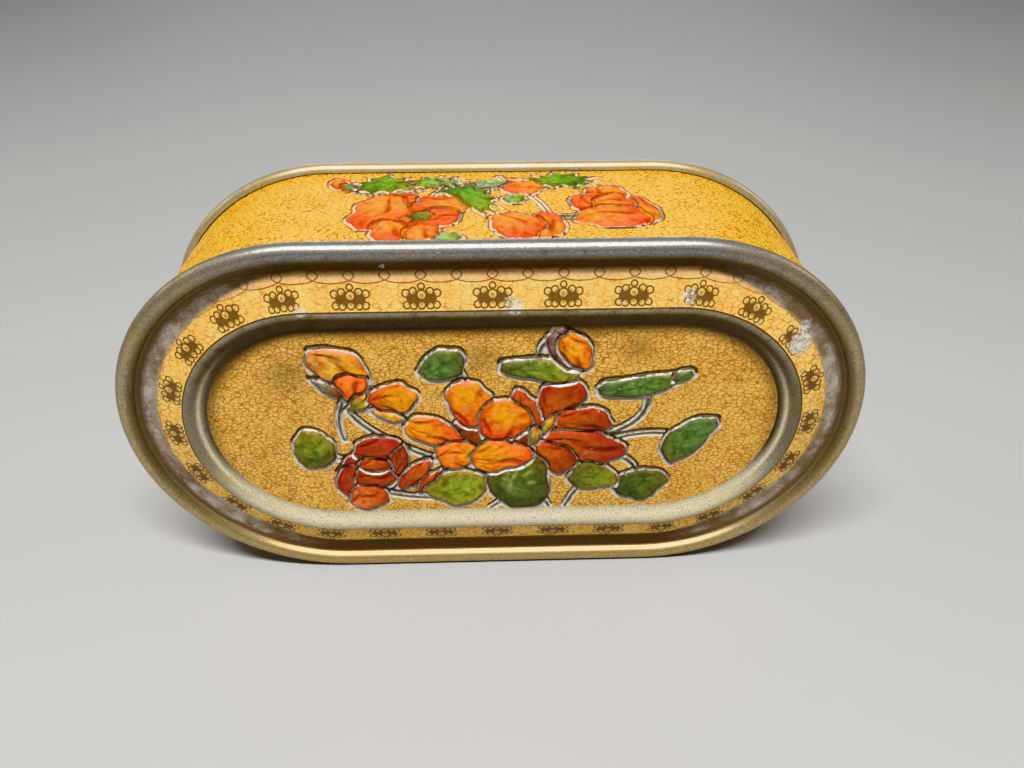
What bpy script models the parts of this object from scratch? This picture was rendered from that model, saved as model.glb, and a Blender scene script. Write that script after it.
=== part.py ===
"""An oval biscuit tin of pressed tinplate: wall, base and lift-off lid, standing on one long side.

Each piece is an open sheet surface, its outer face, that a Solidify modifier gives the thickness of
the tinplate. The pieces are modelled with the lid facing +Z and are then tipped forward together, so
that the lid faces -Y and the tin stands on the straight runs of its two beads.
"""

import math
from collections import namedtuple

import bmesh
import bpy
from mathutils.geometry import delaunay_2d_cdt

# Overall sizes, in metres
LENGTH = 0.230
WIDTH = 0.1265
BEAD_SPACING = 0.05684

# The sheet and the fits
SHEET = 0.00035
CLEARANCE = 0.0003
LID_BEAD_RADIUS = 0.0028
BASE_BEAD_RADIUS = 0.0023
WALL_INSET = 0.00265
SKIRT_DEPTH = 0.0082
BASE_RECESS = 0.0030

# The lid from its outer bead to its panel, heights from the middle of the bead
BORDER_WIDTH = 0.01420
BORDER_DROP = 0.00250
BORDER_LOW = 0.00003
HOLLOW_SHARE = 0.6
ROLL_STEP = 0.00018
ROLL_TOP_WIDTH = 0.00075
ROLL_SLOPE_WIDTH = 0.00580
ROLL_RISE = 0.00255
PANEL_LEVEL = 0.00070

# The embossed pictures
LID_RELIEF = 0.00150
WALL_RELIEF = 0.00095
STEM_SHARE = 0.55
SWELL = 6
WALL_PICTURE_MARGIN = 0.0030

# The drawings are laid out in millimetres on a sheet of these half sizes, and stretched to fit
LID_DRAWING = (88.8, 37.0)
WALL_DRAWING = (51.75, 24.0)

# How finely the round shapes are faceted
HALF_TURN_STEPS = 14
BEAD_TOP_STEPS = 6
BEAD_FOOT_STEPS = 4
CURL_STEPS = 6
CURL_FOLD_STEPS = 3
ROLL_STEPS = 5
OUTLINE_POINTS = 8
RING_POINTS = 6
RING_SHARE = 0.76
EDGE_SHARE = 0.85
LONGEST_REACH = 1.2
STEM_STEPS = 4
WALL_EDGE_STEPS = 8
SMOOTH_ANGLE = math.radians(38)

RIM_REACH = WIDTH / 2
HALF_STRAIGHT = (LENGTH - WIDTH) / 2
LID_BEAD_REACH = RIM_REACH - LID_BEAD_RADIUS
BASE_BEAD_REACH = RIM_REACH - BASE_BEAD_RADIUS
WALL_REACH = RIM_REACH - WALL_INSET
SKIRT_REACH = WALL_REACH - SHEET - CLEARANCE
WALL_TOP = -LID_BEAD_RADIUS - CLEARANCE
BASE_LEVEL = -BEAD_SPACING

# A closed shape of the drawing: an oval about x, y, turned in degrees, with its wide end forward
# (egg), its ends pointed (point) or lifted (bend), and an edge of so many lobes (lobes, wave).
# A stem runs from its start past a knee to its end.
Motif = namedtuple(
    "Motif", "x y long wide turn egg point bend lobes wave", defaults=(0.0, 0.0, 0.0, 0, 0.0)
)
Stem = namedtuple("Stem", "start knee end wide")

LID_SPRAY = [
    # trumpet flower, its sepals and the small flower beside it
    Motif(-45.5, 24.0, 18.0, 9.0, -32, egg=-0.1, point=0.3),
    Motif(-41.0, 18.0, 12.5, 9.5, 80, egg=0.2),
    Motif(-50.0, 15.4, 9.5, 3.8, -38, point=0.4),
    Motif(-41.2, 9.8, 8.5, 5.0, 25, point=0.4),
    Motif(-31.8, 11.2, 13.5, 9.5, 6, egg=0.35),
    Motif(-33.5, 4.6, 9.0, 3.4, -24, point=0.3),
    # red flower at the lower left
    Motif(-37.5, -9.6, 17.0, 9.6, -6, egg=0.1, bend=-1.0),
    Motif(-31.6, -15.0, 13.0, 5.0, 76, point=0.3),
    Motif(-48.2, -23.6, 14.0, 8.0, 68, egg=-0.1),
    Motif(-40.0, -22.0, 12.0, 8.5, 5),
    Motif(-39.2, -16.4, 8.0, 5.8, 0),
    Motif(-43.4, -30.9, 12.0, 10.8, 20),
    Motif(-26.6, -20.8, 15.5, 6.6, 48, egg=-0.1, point=0.4),
    Motif(-22.4, -24.4, 12.6, 4.8, 52, point=0.4),
    # golden flower in the middle
    Motif(-19.4, -2.4, 18.0, 9.6, -20, egg=-0.25, point=0.2),
    Motif(-9.0, -2.0, 11.0, 5.0, -48, point=0.3),
    Motif(-7.8, 9.2, 15.4, 13.0, 96, egg=0.2, lobes=3, wave=0.04),
    Motif(10.6, 4.8, 18.0, 7.4, -62, egg=0.1, bend=1.0),
    Motif(2.6, 1.8, 15.2, 14.6, 70, egg=0.15, lobes=3, wave=0.05),
    Motif(-12.6, -12.2, 13.4, 11.0, 8, lobes=3, wave=0.05),
    # rust flower to its right
    Motif(20.2, 10.0, 14.8, 12.4, 60, egg=0.2, lobes=3, wave=0.05),
    Motif(27.4, 1.0, 17.6, 9.8, -4, egg=0.15),
    Motif(28.4, -10.0, 26.0, 12.4, -14, egg=0.1),
    Motif(19.8, -14.4, 14.8, 9.6, -44, egg=0.1),
    Motif(16.6, -0.2, 9.0, 2.8, 62),
    Motif(11.6, -4.6, 6.0, 3.6, 80),
    # leaves round the flowers
    Motif(-58.0, -8.8, 16.2, 12.6, 98, point=0.2, lobes=3, wave=0.06),
    Motif(-15.8, 23.4, 14.4, 9.8, 28, egg=0.15, point=0.3),
    Motif(13.4, 21.8, 24.0, 8.8, -12, egg=0.2, point=0.2, bend=1.6),
    Motif(44.4, 14.6, 26.5, 8.4, 9, point=0.1, bend=1.4),
    Motif(57.6, 18.6, 5.4, 3.6, 20),
    Motif(62.0, -6.6, 21.0, 12.4, 52, egg=-0.1, point=0.2, bend=-1.2),
    Motif(48.6, -27.2, 15.8, 14.0, 20, lobes=4, wave=0.05),
    Motif(32.0, -23.0, 14.8, 12.6, -10, point=0.2, lobes=3, wave=0.05),
    Motif(-12.6, -27.4, 19.0, 14.8, 8, lobes=4, wave=0.05),
    Motif(7.8, -24.6, 24.0, 19.6, 4, lobes=5, wave=0.03),
    Motif(1.2, -13.4, 17.4, 12.4, 4, lobes=3, wave=0.06),
    # bud at the top
    Motif(23.4, 28.2, 15.4, 8.8, -58, egg=-0.1, point=0.3),
]

LID_STEMS = [
    Stem((-46.2, 11.5), (-50.0, 3.0), (-47.8, -4.6), 2.4),
    Stem((-45.0, 7.0), (-41.0, -3.0), (-18.4, -14.0), 2.6),
    Stem((-55.0, -11.6), (-49.0, -13.8), (-43.0, -12.0), 2.2),
    Stem((-40.4, -27.0), (-30.0, -31.6), (-17.0, -31.0), 2.4),
    Stem((-12.0, 24.8), (-8.8, 20.0), (-7.6, 14.4), 2.4),
    Stem((13.6, 23.4), (12.0, 32.6), (19.6, 33.2), 2.6),
    Stem((46.8, 13.2), (50.0, 1.0), (34.4, -4.6), 2.8),
    Stem((57.6, -4.8), (47.0, -2.4), (36.4, -7.0), 2.2),
    Stem((37.4, -13.2), (45.6, -14.4), (47.2, -23.0), 2.6),
    Stem((3.6, -31.4), (0.6, -34.4), (-1.8, -36.2), 2.4),
    Stem((14.4, -29.4), (16.8, -33.4), (17.8, -36.2), 2.4),
    Stem((28.8, -25.6), (25.0, -31.0), (23.4, -36.2), 2.6),
]

WALL_SPRAY = [
    # toothed leaves, behind the poppies
    Motif(-34.0, -14.2, 17.0, 11.5, 170, point=0.2, lobes=5, wave=0.14),
    Motif(-18.0, -17.0, 14.0, 8.0, 10, point=0.2, lobes=5, wave=0.14),
    Motif(-5.6, -4.4, 23.0, 10.5, 118, point=0.3, lobes=5, wave=0.12),
    Motif(21.0, -16.4, 19.0, 10.5, 8, point=0.2, lobes=5, wave=0.14),
    # buds
    Motif(-47.2, -15.6, 9.4, 6.0, 60, point=0.3),
    Motif(10.4, -9.6, 11.0, 9.6, 0, lobes=5, wave=0.06),
    Motif(7.0, -1.6, 6.4, 4.6, 90),
    # poppies, each from its back petals to its front one
    Motif(-27.4, -1.6, 11.5, 9.0, 20),
    Motif(-35.8, 7.4, 24.0, 12.0, 98),
    Motif(-28.0, 8.6, 18.0, 10.6, 82),
    Motif(-27.0, 18.6, 10.6, 8.0, 75),
    Motif(-19.4, 18.8, 9.2, 8.0, 100),
    Motif(-19.6, 4.6, 14.0, 9.0, 84),
    Motif(-14.0, 0.8, 11.6, 9.4, 30),
    Motif(-14.8, 9.6, 11.0, 9.0, -20),
    Motif(5.6, 14.8, 16.4, 11.6, 76),
    Motif(15.4, 15.2, 16.0, 10.2, 98),
    Motif(34.6, -7.2, 14.0, 11.0, 88),
    Motif(44.6, 6.2, 20.0, 9.4, 82),
    Motif(28.6, 1.6, 15.0, 12.4, 70),
    Motif(35.0, 10.6, 19.6, 14.4, 6),
]

WALL_STEMS = [
    Stem((-46.2, -13.4), (-34.0, -1.0), (-16.0, -14.6), 2.2),
    Stem((2.4, -21.0), (5.0, -16.0), (7.6, -11.0), 2.2),
    Stem((11.4, -6.8), (16.0, 1.0), (17.0, 10.0), 2.2),
]


def remove_everything():
    """Start from an empty scene."""
    for item in list(bpy.data.objects):
        bpy.data.objects.remove(item, do_unlink=True)


def arc(centre, radii, start, end, steps):
    """Points of an ellipse arc in the section plane (reach, height), between two angles in degrees."""
    angles = [math.radians(start + (end - start) * i / steps) for i in range(steps + 1)]
    return [(centre[0] + radii[0] * math.cos(a), centre[1] + radii[1] * math.sin(a)) for a in angles]


def border_height(share):
    """The printed border: a straight fall, then a parabola that turns it up to the bead.

    The parabola starts with the slope of the fall and is lowest half way through the hollow.
    """
    fall = BORDER_DROP / HOLLOW_SHARE
    half_hollow = (1 - HOLLOW_SHARE) / 2
    foot = fall * half_hollow / 2
    if share < HOLLOW_SHARE:
        return BORDER_LOW + foot + BORDER_DROP - fall * share
    off_middle = (share - HOLLOW_SHARE - half_hollow) / half_hollow
    return BORDER_LOW + foot * off_middle ** 2


def lid_section():
    """The lid's outer face from the edge of its panel to the end of its skirt."""
    bead_angle = 180 - math.degrees(math.asin(border_height(1.0) / LID_BEAD_RADIUS))
    border_end = LID_BEAD_REACH + LID_BEAD_RADIUS * math.cos(math.radians(bead_angle))
    border_start = border_end - BORDER_WIDTH
    roll_outer = border_start - ROLL_STEP
    crest = roll_outer - ROLL_TOP_WIDTH
    panel_edge = crest - ROLL_SLOPE_WIDTH

    points = []
    for i in range(ROLL_STEPS + 1):
        swing = (1 - math.cos(math.pi * i / ROLL_STEPS)) / 2
        points.append((panel_edge + ROLL_SLOPE_WIDTH * i / ROLL_STEPS, PANEL_LEVEL + ROLL_RISE * swing))
    points.append((roll_outer, border_height(0.0) + ROLL_STEP))
    for share in (0.0, HOLLOW_SHARE / 2, HOLLOW_SHARE, (1 + HOLLOW_SHARE) / 2):
        points.append((border_start + BORDER_WIDTH * share, border_height(share)))
    fold_angle = -math.degrees(math.acos((SKIRT_REACH - LID_BEAD_REACH) / LID_BEAD_RADIUS))
    bead_radii = (LID_BEAD_RADIUS, LID_BEAD_RADIUS)
    points += arc((LID_BEAD_REACH, 0.0), bead_radii, bead_angle, 0, BEAD_TOP_STEPS)
    points += arc((LID_BEAD_REACH, 0.0), bead_radii, 0, fold_angle, BEAD_FOOT_STEPS)[1:]
    points.append((SKIRT_REACH, -LID_BEAD_RADIUS - SKIRT_DEPTH))
    return points


def base_section():
    """The base's outer face from the edge of its plate to the end of its curl."""
    flange_reach = SKIRT_REACH - SHEET
    plate_level = BASE_LEVEL - BASE_BEAD_RADIUS + BASE_RECESS
    centre = (BASE_BEAD_REACH, BASE_LEVEL)
    inner = BASE_BEAD_REACH - flange_reach
    points = [(flange_reach, plate_level)]
    points += arc(centre, (inner, BASE_BEAD_RADIUS), 180, 270, CURL_FOLD_STEPS)
    points += arc(centre, (BASE_BEAD_RADIUS, BASE_BEAD_RADIUS), 270, 450, CURL_STEPS)[1:]
    return points


def only(kind, geometry):
    """The items of one kind in what an operator returned."""
    return [item for item in geometry if isinstance(item, kind)]


def sweep_oval(bm, section):
    """Carry a section round the oval: half turn, straight run, half turn, straight run."""
    verts = [bm.verts.new((HALF_STRAIGHT, -reach, height)) for reach, height in section]
    live = verts + [bm.edges.new(pair) for pair in zip(verts, verts[1:])]
    for end in (HALF_STRAIGHT, -HALF_STRAIGHT):
        turned = bmesh.ops.spin(
            bm, geom=live, cent=(end, 0, 0), axis=(0, 0, 1), angle=math.pi, steps=HALF_TURN_STEPS
        )
        drawn = bmesh.ops.extrude_edge_only(bm, edges=only(bmesh.types.BMEdge, turned["geom_last"]))
        verts = only(bmesh.types.BMVert, drawn["geom"])
        live = verts + only(bmesh.types.BMEdge, drawn["geom"])
        bmesh.ops.translate(bm, verts=verts, vec=(-2 * end, 0, 0))
    merge(bm)


def merge(bm):
    """Join vertices that lie on each other."""
    bmesh.ops.remove_doubles(bm, verts=bm.verts, dist=0.00001)


def oval_loop(reach):
    """The corners of the oval loop at a reach, in the order of the sweep."""
    loop = []
    for end, start in ((HALF_STRAIGHT, -90), (-HALF_STRAIGHT, 90)):
        loop += arc((end, 0.0), (reach, reach), start, start + 180, HALF_TURN_STEPS)
    return loop


def half_width(motif, along):
    """Half the width of a motif at a share of its half length, before its ends are rounded."""
    return (1 + motif.egg * along) * (1 - motif.point * along ** 2) * motif.wide / 2


def drawn_point(motif, along, across):
    """A place in a motif, in shares of its half length and half width, as a point of the drawing."""
    p = along * motif.long / 2
    q = across * half_width(motif, along) + motif.bend * along ** 2
    turn = math.radians(motif.turn)
    x = motif.x + p * math.cos(turn) - q * math.sin(turn)
    y = motif.y + p * math.sin(turn) + q * math.cos(turn)
    return (x, y)


def motif_share(motif, point):
    """0 at the middle of a motif and 1 on its outline: the way back from drawn_point."""
    turn = math.radians(motif.turn)
    dx = point[0] - motif.x
    dy = point[1] - motif.y
    along = (dx * math.cos(turn) + dy * math.sin(turn)) / (motif.long / 2)
    if abs(along) > LONGEST_REACH:
        return abs(along)
    side = dy * math.cos(turn) - dx * math.sin(turn) - motif.bend * along ** 2
    across = side / half_width(motif, along)
    edge = 1 + motif.wave * math.cos(motif.lobes * math.atan2(across, along))
    return math.hypot(along, across) / edge


def motif_ring(motif, share, count):
    """Points evenly round a motif, at a share of the way to its outline."""
    ring = []
    for i in range(count):
        angle = 2 * math.pi * i / count
        reach = share * (1 + motif.wave * math.cos(motif.lobes * angle))
        ring.append(drawn_point(motif, reach * math.cos(angle), reach * math.sin(angle)))
    return ring


def stem_line(stem):
    """The middle of a stem: a curve from its start to its end that is drawn towards its knee."""
    line = []
    for i in range(STEM_STEPS + 1):
        t = i / STEM_STEPS
        weights = ((1 - t) ** 2, 2 * t * (1 - t), t ** 2)
        x = sum(w * p[0] for w, p in zip(weights, (stem.start, stem.knee, stem.end)))
        y = sum(w * p[1] for w, p in zip(weights, (stem.start, stem.knee, stem.end)))
        line.append((x, y))
    return line


def stem_sides(stem):
    """The two edges of a stem, half its width either side of its middle."""
    line = stem_line(stem)
    sides = ([], [])
    for i, (x, y) in enumerate(line):
        before = line[max(i - 1, 0)]
        after = line[min(i + 1, STEM_STEPS)]
        dx = after[0] - before[0]
        dy = after[1] - before[1]
        step = stem.wide / 2 / math.hypot(dx, dy)
        sides[0].append((x - dy * step, y + dx * step))
        sides[1].append((x + dy * step, y - dx * step))
    return sides


def stem_share(line, wide, point):
    """0 on the middle of a stem, and 1 at its edge and at its two ends."""
    if min(math.dist(point, line[0]), math.dist(point, line[-1])) < wide / 4:
        return 1.0
    nearest = math.inf
    for (ax, ay), (bx, by) in zip(line, line[1:]):
        length = math.hypot(bx - ax, by - ay)
        t = ((point[0] - ax) * (bx - ax) + (point[1] - ay) * (by - ay)) / length ** 2
        t = min(max(t, 0.0), 1.0)
        nearest = min(nearest, math.hypot(point[0] - ax - t * (bx - ax), point[1] - ay - t * (by - ay)))
    return min(nearest / (wide / 2), 1.0)


def relief_height(point, motifs, stems):
    """How far a point of the drawing is raised, as a share of the full relief.

    A corner close to a motif's outline belongs to the ground, so that no face spans from it to far away.
    """
    height = 0.0
    for motif in motifs:
        share = motif_share(motif, point)
        if share < EDGE_SHARE:
            height = max(height, 1 - share ** SWELL)
    for line, wide in stems:
        height = max(height, STEM_SHARE * (1 - stem_share(line, wide, point) ** 2))
    return height


def relief_points(motifs, stems):
    """Outline edges, ring points and stem lines of a drawing, without what a later motif covers."""
    points = []
    edges = []

    def add_chain(chain, covers, closed):
        kept = []
        for point in chain:
            covered = any(motif_share(motif, point) < 0.97 for motif in covers)
            kept.append(None if covered else len(points))
            if not covered:
                points.append(point)
        pairs = list(zip(kept, kept[1:] + kept[:1])) if closed else list(zip(kept, kept[1:]))
        edges.extend(pair for pair in pairs if None not in pair)

    for stem in stems:
        for chain in (stem_line(stem), *stem_sides(stem)):
            add_chain(chain, motifs, closed=False)
    for i, motif in enumerate(motifs):
        covers = motifs[i + 1:]
        count = max(OUTLINE_POINTS, 2 * motif.lobes)
        add_chain(motif_ring(motif, 1.0, count), covers, closed=True)
        add_chain(motif_ring(motif, RING_SHARE, RING_POINTS), covers, closed=True)
        add_chain([(motif.x, motif.y)], covers, closed=False)
    return points, edges


def relief_patch(bm, loop, motifs, stems, stretch, place):
    """Fill a flat loop with a triangulated sheet that carries the drawing's relief.

    stretch turns millimetres of the drawing into metres of the sheet, and place turns a point of
    the sheet and its raised share into a vertex.
    """
    points, edges = relief_points(motifs, stems)
    on_sheet = [(x * stretch[0], y * stretch[1]) for x, y in points]
    rim = list(range(len(on_sheet), len(on_sheet) + len(loop)))
    edges = edges + list(zip(rim, rim[1:] + rim[:1]))
    corners, _, faces, *_ = delaunay_2d_cdt(on_sheet + list(loop), edges, [], 0, 0.00001)
    lines = [(stem_line(stem), stem.wide) for stem in stems]
    verts = []
    for x, y in corners:
        raised = relief_height((x / stretch[0], y / stretch[1]), motifs, lines)
        verts.append(bm.verts.new(place(x, y, raised)))
    for face in faces:
        bm.faces.new([verts[i] for i in face])


def sheet_object(name, bm, colour, metallic, roughness, parent, collection):
    """Make a named object from an open surface, with its thickness on the inner side."""
    merge(bm)
    bmesh.ops.recalc_face_normals(bm, faces=bm.faces)
    mesh = bpy.data.meshes.new(name)
    bm.to_mesh(mesh)
    bm.free()
    mesh.shade_smooth()
    mesh.set_sharp_from_angle(angle=SMOOTH_ANGLE)
    mesh.materials.append(lacquer(name, colour, metallic, roughness))
    piece = bpy.data.objects.new(name, mesh)
    collection.objects.link(piece)
    piece.parent = parent
    thickness = piece.modifiers.new("tinplate", "SOLIDIFY")
    thickness.thickness = SHEET
    thickness.offset = -1.0
    return piece


def lacquer(name, colour, metallic, roughness):
    """A plain material for one piece."""
    material = bpy.data.materials.new(name + "_finish")
    material.use_nodes = True
    shader = material.node_tree.nodes["Principled BSDF"]
    shader.inputs["Base Color"].default_value = (*colour, 1.0)
    shader.inputs["Metallic"].default_value = metallic
    shader.inputs["Roughness"].default_value = roughness
    return material


def make_lid(parent, collection):
    """The lid: its rim swept round the oval, and the embossed panel inside it."""
    section = lid_section()
    bm = bmesh.new()
    sweep_oval(bm, section)
    panel_reach = section[0][0]
    stretch = ((HALF_STRAIGHT + panel_reach) / LID_DRAWING[0], panel_reach / LID_DRAWING[1])

    def place(x, y, raised):
        return (x, y, PANEL_LEVEL + LID_RELIEF * raised)

    relief_patch(bm, oval_loop(panel_reach), LID_SPRAY, LID_STEMS, stretch, place)
    return sheet_object("lid", bm, (0.55, 0.36, 0.12), 0.6, 0.4, parent, collection)


def make_wall(parent, collection):
    """The wall: plain round ends, and the poppies raised on the two long sides."""
    bm = bmesh.new()
    sweep_oval(bm, [(WALL_REACH, WALL_TOP), (WALL_REACH, BASE_LEVEL)])
    long_sides = [face for face in bm.faces if face.calc_area() > HALF_STRAIGHT * BEAD_SPACING]
    bmesh.ops.delete(bm, geom=long_sides, context="FACES_ONLY")
    middle = (WALL_TOP + BASE_LEVEL) / 2
    half_height = (WALL_TOP - BASE_LEVEL) / 2
    stretch = (HALF_STRAIGHT / WALL_DRAWING[0], (half_height - WALL_PICTURE_MARGIN) / WALL_DRAWING[1])
    steps = [2 * i / WALL_EDGE_STEPS - 1 for i in range(WALL_EDGE_STEPS + 1)]
    loop = [(x * HALF_STRAIGHT, -half_height) for x in steps]
    loop += [(-x * HALF_STRAIGHT, half_height) for x in steps]
    for side in (1, -1):

        def place(x, y, raised):
            return (side * x, side * (WALL_REACH + WALL_RELIEF * raised), middle + y)

        relief_patch(bm, loop, WALL_SPRAY, WALL_STEMS, stretch, place)
    return sheet_object("wall", bm, (0.70, 0.45, 0.12), 0.4, 0.4, parent, collection)


def make_base(parent, collection):
    """The base: a recessed plate with its edge curled round the foot of the wall."""
    section = base_section()
    bm = bmesh.new()
    sweep_oval(bm, section)
    plate_reach, plate_level = section[0]
    bm.faces.new([bm.verts.new((x, y, plate_level)) for x, y in oval_loop(plate_reach)])
    return sheet_object("base", bm, (0.45, 0.38, 0.25), 0.8, 0.4, parent, collection)


def make_tin():
    """All pieces, tipped forward about X so that the tin stands on one long side."""
    remove_everything()
    collection = bpy.data.collections.new("biscuit_tin")
    bpy.context.scene.collection.children.link(collection)
    pose = bpy.data.objects.new("standing_on_one_long_side", None)
    collection.objects.link(pose)
    lid_heights = [height for reach, height in lid_section()]
    highest = max(lid_heights + [PANEL_LEVEL + LID_RELIEF])
    lowest = BASE_LEVEL - BASE_BEAD_RADIUS
    pose.rotation_euler = (math.radians(90), 0, 0)
    pose.location = (0, (highest + lowest) / 2, RIM_REACH)
    make_wall(pose, collection)
    make_base(pose, collection)
    make_lid(pose, collection)


make_tin()
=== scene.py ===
# %% [markdown]
# An oval biscuit tin of pressed tinplate, dressed in Blender.
# The frame holds the finished solids of the lid, the wall and the base, and this lesson lays finely
# pressed and painted sheets over them. Every sheet is worked out with numpy as a grid of points,
# because a stamped pattern is a height above a plane, and a height is easy to write as a formula.

# %% Load the frame
import math
from collections import namedtuple
from functools import partial, reduce

import bpy
import numpy as np
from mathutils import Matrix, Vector


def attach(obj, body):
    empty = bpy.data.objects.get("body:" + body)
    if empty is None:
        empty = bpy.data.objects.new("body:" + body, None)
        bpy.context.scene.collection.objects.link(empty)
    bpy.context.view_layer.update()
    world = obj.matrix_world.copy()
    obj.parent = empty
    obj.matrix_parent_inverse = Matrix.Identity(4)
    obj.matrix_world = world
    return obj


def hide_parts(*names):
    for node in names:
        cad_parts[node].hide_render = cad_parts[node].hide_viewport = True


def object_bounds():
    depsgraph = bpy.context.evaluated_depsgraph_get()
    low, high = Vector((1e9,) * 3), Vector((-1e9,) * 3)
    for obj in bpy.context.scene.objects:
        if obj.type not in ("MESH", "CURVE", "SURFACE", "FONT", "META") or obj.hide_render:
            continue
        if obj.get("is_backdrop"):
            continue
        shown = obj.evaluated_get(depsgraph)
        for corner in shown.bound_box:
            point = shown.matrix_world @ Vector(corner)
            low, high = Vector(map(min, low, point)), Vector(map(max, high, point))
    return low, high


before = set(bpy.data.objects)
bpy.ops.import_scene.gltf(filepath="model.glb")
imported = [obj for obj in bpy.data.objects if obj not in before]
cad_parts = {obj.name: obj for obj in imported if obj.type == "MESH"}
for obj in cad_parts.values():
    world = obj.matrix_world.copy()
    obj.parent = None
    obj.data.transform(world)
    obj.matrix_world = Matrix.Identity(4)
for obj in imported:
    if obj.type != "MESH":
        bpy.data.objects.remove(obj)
cad_low, cad_high = (tuple(corner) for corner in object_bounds())
print("the solids span", [round(high - low, 4) for low, high in zip(cad_low, cad_high)])

# %% [markdown]
# The camera comes first, so that every later step can be looked at from the right place.
# A lens is a focal length over a sensor width, both in millimetres, and a turn is three angles.
# The tin is seen from in front and above, a little off the square, as on a table at arm's length.

# %% The camera
CAMERA_PLACE = (0.00043, -0.20991, 0.21523)
CAMERA_TURN = (53.164, 0.055, -1.582)
LENS = 26.469
SENSOR_WIDTH = 36.0


def set_camera():
    """Put the camera at its place, turned by three angles in degrees about X, Y and Z."""
    lens = bpy.data.cameras.new("camera")
    lens.lens = LENS
    lens.sensor_width = SENSOR_WIDTH
    lens.clip_start = 0.01
    camera = bpy.data.objects.new("camera", lens)
    camera.location = CAMERA_PLACE
    camera.rotation_euler = [math.radians(angle) for angle in CAMERA_TURN]
    bpy.context.scene.collection.objects.link(camera)
    bpy.context.scene.camera = camera
    return camera


camera = set_camera()
print("camera", tuple(round(value, 3) for value in camera.location))

# %% [markdown]
# A material is a little network of nodes, and writing each one by hand hides what it does.
# Here a Net adds nodes, and a Value is what a node puts out. Arithmetic on values adds the nodes
# that do it, so from here on a finish reads like a recipe, and its sums read like formulas.

# %% Shader networks written as formulas
class Net:
    """A network of shader nodes, with the object's own places in metres at hand."""

    def __init__(self, tree):
        self.tree = tree
        self.place = self.node("ShaderNodeTexCoord", output="Object")

    def node(self, kind, sockets=None, output=0, **settings):
        """Add a node, set its properties, fill its sockets, and hand back one of its outputs."""
        node = self.tree.nodes.new(kind)
        for name, value in settings.items():
            setattr(node, name, value)
        self.fill(node, sockets or {})
        return Value(self, node.outputs[output])

    def fill(self, node, sockets):
        """Link values to a node's sockets, and set plain numbers and colours on them."""
        for name, value in sockets.items():
            if isinstance(value, Value):
                self.tree.links.new(value.socket, node.inputs[name])
            else:
                node.inputs[name].default_value = value

    def noise(self, scale, detail=3.0, rough=0.55, distortion=0.0):
        """Soft random clouds between 0 and 1."""
        return self.node("ShaderNodeTexNoise", {
            "Vector": self.place, "Scale": scale, "Detail": detail,
            "Roughness": rough, "Distortion": distortion,
        })

    def field(self, name, output="Fac"):
        """An attribute of the mesh, kept for each point."""
        return self.node("ShaderNodeAttribute", output=output, attribute_name=name)

    def group(self, group, sockets):
        """Place a node group, fill its sockets, and hand back all its outputs by name."""
        first = self.node("ShaderNodeGroup", sockets, node_tree=group)
        return {socket.name: Value(self, socket) for socket in first.socket.node.outputs}


class Value:
    """What a node puts out. Arithmetic on it adds the nodes that do it."""

    def __init__(self, net, socket):
        self.net, self.socket = net, socket

    def step(self, operation, *values):
        """One step of arithmetic on numbers or values."""
        return self.net.node("ShaderNodeMath", dict(enumerate(values)), operation=operation)

    def clamped(self):
        """The same value, kept between 0 and 1 by the node that makes it."""
        self.socket.node.use_clamp = True
        return self

    def __add__(self, other):
        return self.step("ADD", self, other)

    def __sub__(self, other):
        return self.step("SUBTRACT", self, other)

    def __rsub__(self, other):
        return self.step("SUBTRACT", other, self)

    def __mul__(self, other):
        return self.step("MULTIPLY", self, other)

    def __truediv__(self, other):
        return self.step("DIVIDE", self, other)

    def __abs__(self):
        return self.step("ABSOLUTE", self)

    __radd__, __rmul__ = __add__, __mul__


# %% [markdown]
# Colours are given as screen values from 0 to 255, which are easy to read off, but a shader counts
# light, so each value is made linear first. A material starts as an empty network that holds only
# Blender's general shader, and each finish fills in what it needs.

# %% Colours and materials
def pigment(red, green, blue):
    """A colour from its three screen values of 0 to 255, made linear for the shader."""
    shares = np.array([red, green, blue]) / 255
    linear = np.where(shares <= 0.04045, shares / 12.92, ((shares + 0.055) / 1.055) ** 2.4)
    return (*(float(value) for value in linear), 1.0)


def pigments(**colours):
    """Named colours, each from its three screen values."""
    return {name: pigment(*screen) for name, screen in colours.items()}


def new_material(name):
    """A material, its network, and its Principled shader with nothing linked to it."""
    material = bpy.data.materials.new(name)
    material.use_nodes = True
    tree = material.node_tree
    tree.nodes.clear()
    output = tree.nodes.new("ShaderNodeOutputMaterial")
    shader = tree.nodes.new("ShaderNodeBsdfPrincipled")
    tree.links.new(shader.outputs[0], output.inputs["Surface"])
    return material, Net(tree), shader


# %% [markdown]
# The tin stands on a plain pale table under soft light.
# One long lamp hangs high up and only a little in front of the lid, so its light grazes the lid:
# that is what makes a shallow pressing stand out. Wide, weak lamps fill the shadows, and those at
# the sides and the back stand behind the lid's plane, so that they leave its shadows alone.

# %% The table and the lamps
TABLE_SIZE = 8.0
TIN_MIDDLE = (0.0, 0.0, cad_high[2] / 2)
Lamp = namedtuple("Lamp", "name place size power")
LAMPS = [
    Lamp("key_lamp", (-0.06, -0.46, 1.25), (1.00, 0.12), 33.0),
    Lamp("front_lamp", (0.0, -1.40, 0.90), (1.60, 0.60), 1.5),
    Lamp("back_lamp", (0.0, 1.60, 0.60), (1.60, 0.80), 6.0),
    Lamp("left_lamp", (-1.50, 0.35, 0.80), (0.80, 0.80), 3.0),
    Lamp("right_lamp", (1.50, 0.35, 0.80), (0.80, 0.80), 3.0),
]
WORLD_LIGHT = 0.08
ROOM_COLOUR = pigment(240, 241, 243)
TABLE_COLOUR = pigment(158, 157, 155)


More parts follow.
